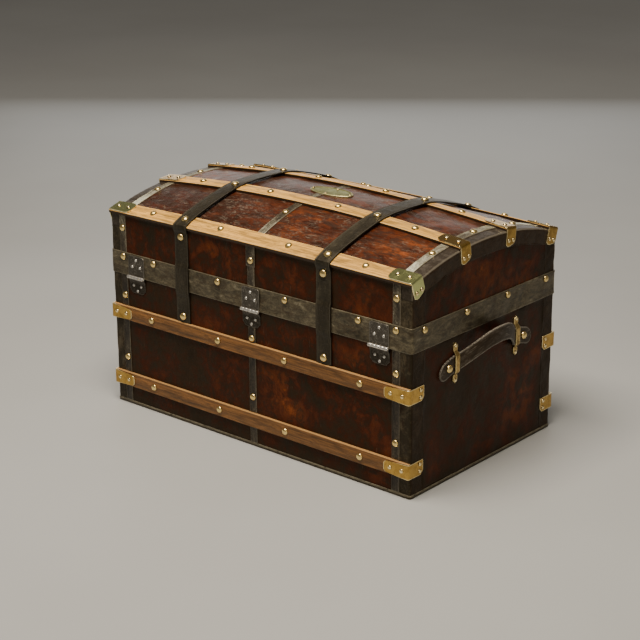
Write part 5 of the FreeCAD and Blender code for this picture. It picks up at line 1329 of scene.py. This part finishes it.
def lid_clip(pile, side, middle):
    """A clip over one end of a lid slat and down the end face."""
    half, length, drop, ease = sizes("slat_width") / 2, 60.0, 40.0, 2.4
    lift = sizes("slat_height")
    v = clip_across(half)
    begin = -length + nose(v, half, 11.5)
    facing_out = dome_out(np.array([HALF_X]), np.array([middle]))[0]
    slope = unit(np.array([0.0, facing_out[1], facing_out[2]]))
    outline_v = np.array([-half, -half + 2, -half + 8, half - 11, half - 5, half])
    outline_d = np.array([drop - 13, drop - 8, drop - 4, drop, drop - 1, drop - 5])
    reach = np.interp(v, outline_v, outline_d)
    middle_top = float(dome_height(HALF_X, middle, lift))
    rows, facing = [], []
    for part, share, turn in clip_runs():
        angle = turn * ARC
        y = middle + v
        if part == "first":
            x = HALF_X - ease + begin * (1 - share)
            z = dome_height(x, y, lift)
            out = dome_out(x, y)
            points = np.stack([side * x, y, z], -1)
            out = out * (side, 1, 1)
        else:
            top = dome_height(HALF_X, y, lift)
            sunk = ease * (1 - math.cos(angle))
            x = np.full_like(v, HALF_X - ease + ease * math.sin(angle))
            points = np.stack([side * x, y - slope[1] * sunk, top - slope[2] * sunk], -1)
            out = np.repeat([[side * math.sin(angle), slope[1] * math.cos(angle), slope[2] * math.cos(angle)]],
                            len(v), 0)
            if part == "second":
                level = top - middle_top - (y - middle) * (-slope[1] / slope[2])
                run = (reach - ease + level) * share
                points = points - np.outer(run, slope)
        rows.append(points)
        facing.append(out)
    base, out = np.stack(rows), unit(np.stack(facing))
    # painted reflection: the clips on the back edge slats get a pale green white, set through the warm attribute
    pile.slab(base, out, 2.0, 0.5, relief=0.1 * ripple(base, 12.0, pile.parts + 440),
              warm=np.full(base.shape[:2], 1.0 if middle > 200 else 0.0))


def clip_pieces():
    """The brass clips at the ends of every slat."""
    body = Pile()
    for side_y in SIDES:
        for height in (LOW_SLAT, upper_slat(side_y)):
            for side_x in SIDES:
                body_clip(body, side_x, side_y, height)
    body.settle("body_clips", "clip_brass", "trunk_body", "clip_brass", "body_slat_clips")
    lid = Pile()
    for _, low, high in slat_rows():
        for side in SIDES:
            lid_clip(lid, side, (low + high) / 2)
    lid.settle("lid_clips", "clip_brass", "lid", "clip_brass", "lid_slat_clips")


# ---------------------------------------------------------------- nails
def seats(node):
    """Each nail head of a CAD node: the middle of its flat back and the way it points, in millimetres."""
    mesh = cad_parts[node].data
    mesh.calc_loop_triangles()
    co = np.zeros(len(mesh.vertices) * 3)
    mesh.vertices.foreach_get("co", co)
    co = co.reshape(-1, 3) / MM
    _, first, ids = np.unique(co.round(3), axis=0, return_index=True, return_inverse=True)
    ids = ids.reshape(-1)
    co = co[first]
    triangles = np.zeros(len(mesh.loop_triangles) * 3, int)
    mesh.loop_triangles.foreach_get("vertices", triangles)
    triangles = ids[triangles].reshape(-1, 3)
    label = np.arange(len(co))
    while True:
        lowest = label[triangles].min(1)
        fresh = label.copy()
        for k in range(3):
            np.minimum.at(fresh, triangles[:, k], lowest)
        if (fresh == label).all():
            break
        label = fresh
    normal = np.cross(co[triangles[:, 1]] - co[triangles[:, 0]], co[triangles[:, 2]] - co[triangles[:, 0]])
    area = np.linalg.norm(normal, axis=1)
    group = label[triangles[:, 0]]
    found = []
    for name in np.unique(group):
        mine = np.where(group == name)[0]
        biggest = mine[np.argmax(area[mine])]
        back = normal[biggest] / area[biggest]
        corners = co[np.unique(triangles[mine])]
        flat = corners[np.abs((corners - co[triangles[biggest, 0]]) @ back) < 0.02]
        centre = flat.mean(0)
        radius = float(np.linalg.norm(flat - centre, axis=1).max())
        height = float(((corners - centre) @ -back).max())
        found.append((centre, -back, radius, height))
    return found


NAIL_TURNS = 22    # points round a nail head


def nail_head(radius, height):
    """Profile of a domed nail head with a thin rolled rim."""
    profile = [(radius * 0.985, -0.3), (radius, height * 0.05), (radius * 0.99, height * 0.12)]
    for share in (0.06, 0.16, 0.30, 0.46, 0.62, 0.78, 0.90):
        angle = share * ARC
        profile.append((radius * 0.97 * math.cos(angle), height * (0.12 + 0.88 * math.sin(angle))))
    profile.append((radius * 0.05, height))
    return profile


def nail_piece(node, name, body):
    """Every nail head of one node, each set a little differently."""
    random = np.random.default_rng(len(name) * 7 + 1)
    pile = Pile()
    for centre, axis, radius, height in seats(node):
        tilt = random.normal(0, 0.035, 3)
        scale = random.uniform(0.96, 1.0)
        pile.look = 1 if "tacks" in node and centre[1] > 0 and centre[2] < 400 else 2 * ("clip" in node)
        profile = nail_head(radius * scale, height * random.uniform(0.90, 1.0))
        pile.turned(centre, axis + tilt, profile, NAIL_TURNS)
    looks = [finish(kind) for kind in ("nail_brass", "barrel_steel", "clip_nail_brass")]
    settle(pile.make(name, *looks), body, "nail_brass", node)


def nail_pieces():
    """Nails, tacks and studs, where the model has them."""
    for node, name, body in (
            ("body_dome_nails", "body_nails", "trunk_body"), ("lid_dome_nails", "lid_nails", "lid"),
            ("body_clip_nails", "body_small_nails", "trunk_body"), ("lid_clip_nails", "lid_small_nails", "lid"),
            ("body_tacks", "body_tack_heads", "trunk_body"), ("lid_tacks", "lid_tack_heads", "lid"),
            ("strap_nails", "strap_nail_heads", "lid"),
            ("strap_end_nails", "strap_end_nail_heads", "trunk_body"),
            ("handle_studs", "handle_stud_heads", "trunk_body")):
        nail_piece(node, name, body)


# ---------------------------------------------------------------- handles
def handle_pieces():
    """Both handles: one strap of leather each, flat under its brass bridges and bowed between them."""
    mid, width, tip, tip_radius = 256.0, 38.0, 162.0, 17.0    # height, width, half length, rounding of the ends
    stand, reach_out, reach_up = 96.0, 37.5, 44.0             # bow: half length, reach outward and upward
    bridge_at, droop_from = 108.0, 114.0                      # middle of a bridge, start of the drooping flat end
    for end in SIDES:
        run = spread(2 * tip, 3.0, 1.6) - tip
        bow_radius = (stand ** 2 + reach_up ** 2) / (2 * reach_up)
        inside = np.clip(np.abs(run), 0, stand)
        bow = np.sqrt(bow_radius ** 2 - inside ** 2) - (bow_radius - reach_up)
        bow = smooth_values(np.maximum(bow, 0), 5)
        sag = (5.0 - 3.0 * np.tanh(run / 40)) * np.exp(-((np.abs(run) - 72) / 24) ** 2)
        out, up = bow * reach_out / reach_up, bow - sag
        half = width / 2 - 1.0 * np.clip(1 - np.abs(run) / 120, 0, 1)
        past = np.clip(np.abs(run) - (tip - tip_radius), 0, tip_radius)
        rounded_tip = np.sqrt(np.maximum(tip_radius ** 2 - past ** 2, 1.0)) + 2.0 * (1 - past / tip_radius)
        half = np.where(np.abs(run) > tip - tip_radius, rounded_tip, half)
        v = mirrored(0.25, 0.5, 0.7, 0.77, 0.84, 0.9, 0.95, 0.985, 1, centre=(0,))
        droop = 14.0 * smooth_values(np.clip((np.abs(run) - droop_from) / (tip - droop_from), 0, 1), 2)
        centre = np.stack([HALF_X + out, run, mid + up - droop], -1)
        head = unit(np.gradient(centre, axis=0))
        upright = np.array([0.0, 0.0, 1.0])
        facing = unit(np.cross(head, np.repeat([upright], len(run), 0)))
        facing *= np.sign(facing[:, :1] + 1e-9)
        rows = centre[:, None, :] + v[None, :, None] * half[:, None, None] * upright
        out_grid = np.repeat(facing[:, None, :], len(v), 1)
        rows = rows * (end, 1, 1)
        out_grid = out_grid * (end, 1, 1)
        pile = Pile()
        across = v[None, :] * half[:, None]
        crown = 0.8 * (1 - v[None, :] ** 2) * np.clip((stand - np.abs(run)) / 30, 0, 1)[:, None]
        crease = -0.35 * np.exp(-((np.abs(across) - half[:, None] + 3.6) / 0.7) ** 2)
        relief = crown + crease + 0.12 * ripple(rows, 20.0, 500 + end) - 0.1
        pile.slab(rows, out_grid, 4.8, 1.5, both=True, relief=relief, under=0.1)
        name = "right_handle" if end > 0 else "left_handle"
        strap = pile.make(name + "_strap", finish("handle_leather"))
        nodes = [name + "_grip"] + (["handle_tabs"] if end > 0 else [])
        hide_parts(*nodes)
        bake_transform(strap)
    bridges = Pile()
    for side in SIDES:
        for end in SIDES:
            bridge(bridges, side, end * bridge_at, mid)
    bridges.settle("handle_bridges", "bridge_brass", "trunk_body", "clip_brass", "handle_bridges")


def smooth_values(values, times):
    """A run of values with its corners eased."""
    for _ in range(times):
        values = np.convolve(np.pad(values, 2, mode="edge"), np.ones(5) / 5, mode="valid")
    return values


def bridge(pile, side, y, mid):
    """A brass strap that arches over the handle's flat end, pointed above and below."""
    reach, half_wide, rise, inner = 44.0, 7.0, 6.5, 20.0
    line = np.array([(0.0, -reach), (0.0, -inner - rise + 1), (rise - 1.2, -inner + 0.5), (rise, -inner + 3),
                     (rise, 0.0), (rise, inner - 3), (rise - 1.2, inner - 0.5), (0.0, inner + rise - 1),
                     (0.0, reach)])
    line = smooth_line(line, 1.2, keep=2.4)
    line[:, 0] = np.maximum(line[:, 0], 0)
    head = unit(np.gradient(line, axis=0))
    run = np.abs(line[:, 1])
    half = np.minimum(half_wide, 0.8 + (reach - run) * 1.0)
    waist = 1.3 * np.exp(-((run - inner - 5.0) / 3.2) ** 2)
    half = half - waist
    v = mirrored(0.5, 0.8, 0.9, 0.97, 1, centre=(0,))
    base = np.stack([np.repeat((side * (HALF_X + line[:, 0]))[:, None], len(v), 1), y + v[None] * half[:, None],
                     np.repeat((mid + line[:, 1])[:, None], len(v), 1)], -1)
    out = np.stack([side * head[:, 1], head[:, 0] * 0, -head[:, 0]], -1)
    out = np.repeat(out[:, None], len(v), 1)
    crown = 0.5 * (1 - np.repeat(v[None] ** 2, len(line), 0)) * (run < inner)[:, None]
    pile.slab(base, out, 2.0, 0.45, relief=crown + 0.06 * ripple(base, 9.0, pile.parts + 520))


# ---------------------------------------------------------------- hinges
def leaf_part(pile, line, middle, corner, thick=1.6):
    """A hinge leaf along a line of (y, z), from the barrel to its free end with the corners clipped."""
    half = 25.0
    line = smooth_line(np.array(line, float), 1.6, keep=1.2)
    v = from_edges(half, 0, 0.1, 0.35, 0.7, 1.5, 4, 8, 12, 18)
    run = np.concatenate([[0], np.cumsum(np.linalg.norm(np.diff(line, axis=0), axis=1))])
    total = run[-1]
    cut = np.clip(corner - (half - np.abs(v)), 0, corner)
    shares = spread(total, 2.5, 0.6) / total
    rows, facing = [], []
    head = unit(np.gradient(line, axis=0))
    for share in shares:
        spot = share * (total - cut)
        y, z = np.interp(spot, run, line[:, 0]), np.interp(spot, run, line[:, 1])
        hy, hz = np.interp(spot, run, head[:, 0]), np.interp(spot, run, head[:, 1])
        rows.append(np.stack([middle + v, y, z], -1))
        facing.append(np.stack([v * 0, np.abs(hz), -hy * np.sign(hz)], -1))
    base, out = np.stack(rows), unit(np.stack(facing))
    pile.slab(base, out, thick, 0.4, relief=0.07 * ripple(base, 10.0, pile.parts + 540))


def hinge_pieces():
    """Three hinges on the back: upper leaves on the lid, lower leaves on the body and their pins."""
    axis_y, axis_z, radius, knuckles = 258.9, 314.2, 4.0, 5
    upper, lower, pins = Pile(), Pile(), Pile()
    for middle in (-350.0, 0.0, 350.0):
        leaf_part(upper, [(254.5, 316.0), (254.5, 364.4)], middle, 4.0)
        leaf_part(lower, [(256.6, 312.2), (252.9, 304.6), (252.0, 300.5), (252.0, 276.0)], middle, 9.0)
        step = 50.4 / knuckles
        for index in range(knuckles):
            start = middle - 25 + index * step
            pile = upper if index % 2 == 0 else lower
            long = step - 0.4
            pile.look = 1
            pile.turned((start, axis_y, axis_z), (1, 0, 0),
                        [(radius - 0.5, 0), (radius - 0.12, 0.14), (radius, 0.5), (radius, long - 0.5),
                         (radius - 0.12, long - 0.14), (radius - 0.5, long)], 24)
            pile.look = 0
        pins.turned((middle - 26, axis_y, axis_z), (1, 0, 0),
                    [(1.5, 0), (2.0, 0.4), (2.0, 51.6), (1.5, 52)], 16)
    leaf, barrel = finish("hinge_steel"), finish("barrel_steel")
    settle(upper.make("hinge_upper", leaf, barrel), "lid", "hinge_steel", "hinge_upper_leaves")
    low_leaf = finish("hinge_low_steel")
    settle(lower.make("hinge_lower", low_leaf, barrel), "trunk_body", "hinge_steel", "hinge_lower_leaves")
    settle(pins.make("hinge_pin_rods", barrel), "trunk_body", "hinge_steel", "hinge_pins")


# ---------------------------------------------------------------- oval plate, lock and stays
def oval_piece():
    """The bare oval plate on the crown: a raised rim round a flat field."""
    middle, half_long, half_wide = OVAL_PLATE
    shares = np.array([0.02, 0.2, 0.4, 0.6, 0.74, 0.80, 0.835, 0.86, 0.89, 0.92, 0.95, 0.975, 0.99, 1.0])
    field = np.array([0, 0, 0, 0, 0, 0, -0.15, -0.3, 0.1, 0.75, 0.85, 0.6, 0.2, -0.9])
    turns = np.linspace(0, 2 * math.pi, 72, endpoint=False)
    angle, share = np.meshgrid(turns, shares, indexing="ij")
    x = middle + half_long * share * np.cos(angle)
    y = half_wide * share * np.sin(angle)
    base = np.stack([x, y, dome_height(x, y)], -1)
    relief = np.broadcast_to(field, x.shape) + 0.06 * ripple(base, 14.0, 560)
    out = dome_out(x, y)
    rows = base + out * (1.45 + relief)[..., None]
    count = len(turns)
    grid = np.arange(count * len(shares)).reshape(count, -1)
    wrap = np.concatenate([grid, grid[:1]])
    quads = np.stack([wrap[:-1, :-1], wrap[:-1, 1:], wrap[1:, 1:], wrap[1:, :-1]], -1).reshape(-1, 4)
    under = rows.reshape(-1, 3).shape[0]
    lower = base.reshape(-1, 3)
    faces = quads.tolist() + (quads[:, ::-1] + under).tolist() + [tuple(grid[::-1, 0]), tuple(grid[:, 0] + under)]
    for a, b in zip(wrap[:-1, -1], wrap[1:, -1]):
        faces.append((a, a + under, b + under, b))
    rim = ((1 - share) * half_wide * 0.5 + 0.5).reshape(-1)
    pile = Pile()
    pile.add(np.concatenate([rows.reshape(-1, 3), lower]), faces, None, np.concatenate([rim, rim]))
    pile.settle("oval_plate_piece", "plate_brass", "lid", "plate_brass", "oval_plate")


def copied(rows):
    """Copies of CAD nodes: rows of node, name, body, wear in millimetres and finish."""
    for node, name, body, wear, look in rows:
        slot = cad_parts[node].data.materials[0].name
        settle(worn_copy(node, name, wear, look), body, slot, node)


def lock_pieces():
    """The box lock inside the front, its bolt, the link plate, the keyhole plate and its cover."""
    copied((("lock_case", "lock_box", "trunk_body", 0.5, "lock_steel"),
            ("lock_bolt", "lock_bar", "bolt", 0.3, "lock_steel"),
            ("link_plate", "link_plate_piece", "lid", 0.35, "lock_steel"),
            ("keyhole_plate", "keyhole_plate_piece", "trunk_body", 0, "clip_brass"),
            ("keyhole_cover", "keyhole_cover_piece", "cover", 0.4, "nail_brass")))


def stay_pieces():
    """The quadrant stays that hold the lid open, and their guides."""
    copied((("quadrant_stays", "lid_stays", "lid", 0.4, "stay_brass"),
            ("stay_guides", "lid_stay_guides", "trunk_body", 0.4, "stay_brass")))


# ---------------------------------------------------------------- boards and lining
def board_pieces():
    """The boards keep their CAD shape and get a sawn wood finish."""
    for node in ("front_board", "back_board", "floor_board", "lid_front_board", "lid_back_board", "dome_board"):
        give(node, "long_board")
    for node in ("left_board", "right_board", "lid_left_board", "lid_right_board"):
        give(node, "end_board")


def give(node, name):
    """A CAD node keeps its mesh and gets a finish."""
    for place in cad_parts[node].material_slots:
        place.material = finish(name)


def cloth(pile, corner, along, across, out, seed, high=None):
    """One panel of cloth pasted on a board: corner and the two ways it runs, in millimetres."""
    corner, along, across, out = (np.array(a, float) for a in (corner, along, across, out))
    long, wide = np.linalg.norm(along), np.linalg.norm(across)
    u, w = np.meshgrid(spread(long, 11.0, 0.5) / long, spread(wide, 11.0, 0.5) / wide, indexing="ij")
    base = corner + u[..., None] * along + w[..., None] * across
    if high is not None:
        base[..., 2] = corner[2] + w * (high(base[..., 0], base[..., 1]) - corner[2])
    puckers = 0.14 * ripple(base, 60.0, seed) + 0.08 * ripple(base, 15.0, seed + 1) - 0.12
    pile.slab(base, out, 1.0, 0.4, relief=puckers)


def lining_pieces():
    """The cloth linings of the body and the lid."""
    inner_x, inner_y, seam, foot = 418.0, 240.0, sizes("seam"), sizes("lid_foot")
    body = Pile()
    wide = (0, 0, seam - 10.2)
    for side in SIDES:
        cloth(body, (-inner_x, side * inner_y, 10), (2 * inner_x, 0, 0), wide, (0, -side, 0), 600 + side)
        cloth(body, (side * inner_x, -inner_y, 10), (0, 2 * inner_y, 0), wide, (-side, 0, 0), 604 + side)
    cloth(body, (-inner_x, -inner_y, 10), (2 * inner_x, 0, 0), (0, 2 * inner_y, 0), (0, 0, 1), 608)
    body.settle("body_cloth", "lining_cloth", "trunk_body", "lining_cloth", "body_lining")
    lid = Pile()

    def ceiling(x, y):
        return dome_height(x, y, -9.2)
    for side in SIDES:
        cloth(lid, (-inner_x, side * inner_y, foot + 0.2), (2 * inner_x, 0, 0), (0, 0, 100), (0, -side, 0),
              620 + side, ceiling)
        cloth(lid, (side * inner_x, -inner_y, foot + 0.2), (0, 2 * inner_y, 0), (0, 0, 100), (-side, 0, 0),
              624 + side, ceiling)
    x, y = np.meshgrid(spread(2 * inner_x, 12.0, 0.5) - inner_x, spread(2 * inner_y, 12.0, 0.5) - inner_y,
                       indexing="ij")
    base = np.stack([x, y, dome_height(x, y, -9.0)], -1)
    lid.slab(base, -dome_out(x, y), 1.0, 0.4, relief=0.14 * ripple(base, 60.0, 630) - 0.12)
    lid.settle("lid_cloth", "lining_cloth", "lid", "lining_cloth", "lid_lining")


# ---------------------------------------------------------------- stage
CAMERA_PLACE = (-2.3441, 2.7426, 1.4824)    # metres
CAMERA_AHEAD = (0.6174, -0.7144, -0.3295)
CAMERA_ROLL = -0.351                        # degrees
FLOOR_REACH = 40000.0                       # millimetres


def soft_light(name, place, target, size, power, shade=(1.0, 1.0, 1.0)):
    """A large soft light aimed at a point."""
    data = bpy.data.lights.new(name, "AREA")
    data.shape = "RECTANGLE"
    data.size, data.size_y = size
    data.energy = power
    data.color = shade
    lamp = placed(name, data)
    lamp.location = place
    lamp.visible_camera = False
    lamp.rotation_mode = "QUATERNION"
    lamp.rotation_quaternion = (Vector(target) - Vector(place)).to_track_quat("-Z", "Y")


def stage_pieces():
    """Floor, soft lights, room light and camera."""
    settings = bpy.context.scene.trunk_stage
    floor = Pile()
    floor.add([(x * FLOOR_REACH, y * FLOOR_REACH, 0) for x, y in ((-1, -1), (1, -1), (1, 1), (-1, 1))],
              [(0, 1, 2, 3)])
    floor.make("floor", finish("studio_floor"))
    middle = (0.0, 0.0, 0.25)
    soft_light("key_light", (-0.15, 0.95, 3.2), middle, (1.9, 1.4), settings.key, (1.0, 0.87, 0.70))
    soft_light("fill_light", (-3.2, 1.9, 1.9), middle, (2.0, 2.4), settings.fill, (1.0, 0.81, 0.48))
    soft_light("back_light", (2.1, -2.6, 0.95), (0.0, 0.0, 0.4), (3.0, 1.3), settings.back, (1.0, 0.98, 0.94))
    world = bpy.data.worlds.new("studio")
    world.use_nodes = True
    sky = next(n for n in world.node_tree.nodes if n.type == "BACKGROUND")
    sky.inputs["Color"].default_value = (1.0, 0.90, 0.77, 1.0)
    sky.inputs["Strength"].default_value = settings.room
    bpy.context.scene.world = world
    data = bpy.data.cameras.new("camera")
    data.lens = settings.lens
    data.sensor_width = 36.0
    data.clip_start, data.clip_end = 0.1, 200.0
    camera = placed("camera", data)
    ahead = Vector(CAMERA_AHEAD).normalized()
    level = ahead.cross(Vector((0, 0, 1))).normalized()
    upright = level.cross(ahead)
    roll = math.radians(CAMERA_ROLL)
    right = level * math.cos(roll) + upright * math.sin(roll)
    up = upright * math.cos(roll) - level * math.sin(roll)
    camera.matrix_world = Matrix.Translation(CAMERA_PLACE) @ Matrix((right, up, -ahead)).transposed().to_4x4()
    bpy.context.scene.camera = camera


# ---------------------------------------------------------------- add-on
class PieceOperator:
    """Shared by the operators: runs the function that makes the pieces."""
    bl_options = {"REGISTER", "UNDO"}

    def execute(self, context):
        self.build()
        return {"FINISHED"}


def operator(name, label, function):
    """An operator class for one group of pieces."""
    return type("TRUNK_OT_" + name, (PieceOperator, Operator),
                {"__doc__": function.__doc__, "bl_idname": "trunk." + name, "bl_label": label,
                 "build": staticmethod(function)})


OPERATORS = (
    operator("boards", "Boards", board_pieces),
    operator("lining", "Cloth lining", lining_pieces),
    operator("body_leather", "Body leather", body_leather_pieces),
    operator("lid_leather", "Lid leather", lid_leather_pieces),
    operator("seam_strips", "Seam strips", strip_pieces),
    operator("rim_band", "Rim band", band_piece),
    operator("slats", "Slats", slat_pieces),
    operator("straps", "Straps", strap_pieces),
    operator("clips", "Clips", clip_pieces),
    operator("handles", "Handles", handle_pieces),
    operator("hinges", "Hinges", hinge_pieces),
    operator("oval_plate", "Oval plate", oval_piece),
    operator("lock", "Lock", lock_pieces),
    operator("stays", "Stays", stay_pieces),
    operator("nails", "Nails", nail_pieces),
    operator("stage", "Floor, lights and camera", stage_pieces),
)


class TRUNK_PT_panel(Panel):
    """Lists the trunk's sizes, colours and pieces."""
    bl_idname = "TRUNK_PT_panel"
    bl_label = "Dome top trunk"
    bl_space_type = "VIEW_3D"
    bl_region_type = "UI"
    bl_category = "Trunk"

    def draw(self, context):
        layout = self.layout
        for group in (context.scene.trunk_sizes, context.scene.trunk_colours, context.scene.trunk_stage):
            box = layout.box()
            for name in group.bl_rna.properties.keys():
                if name not in ("rna_type", "name"):
                    box.prop(group, name)
        for item in OPERATORS:
            layout.operator(item.bl_idname)


GROUPS = {"trunk_sizes": TrunkSizes, "trunk_colours": TrunkColours, "trunk_stage": TrunkStage}


def register():
    """Registers the classes and hangs the settings on the scene."""
    for item in (*GROUPS.values(), *OPERATORS, TRUNK_PT_panel):
        bpy.utils.register_class(item)
    for name, group in GROUPS.items():
        setattr(bpy.types.Scene, name, PointerProperty(type=group))


def unregister():
    """Takes the settings and the classes away again."""
    for name in GROUPS:
        delattr(bpy.types.Scene, name)
    for item in reversed((*GROUPS.values(), *OPERATORS, TRUNK_PT_panel)):
        bpy.utils.unregister_class(item)


def main():
    """Registers the classes, makes every piece in order and writes the sizes of both models."""
    register()
    for item in OPERATORS:
        getattr(bpy.ops.trunk, item.bl_idname.split(".")[1])()


if __name__ == "__main__":
    main()
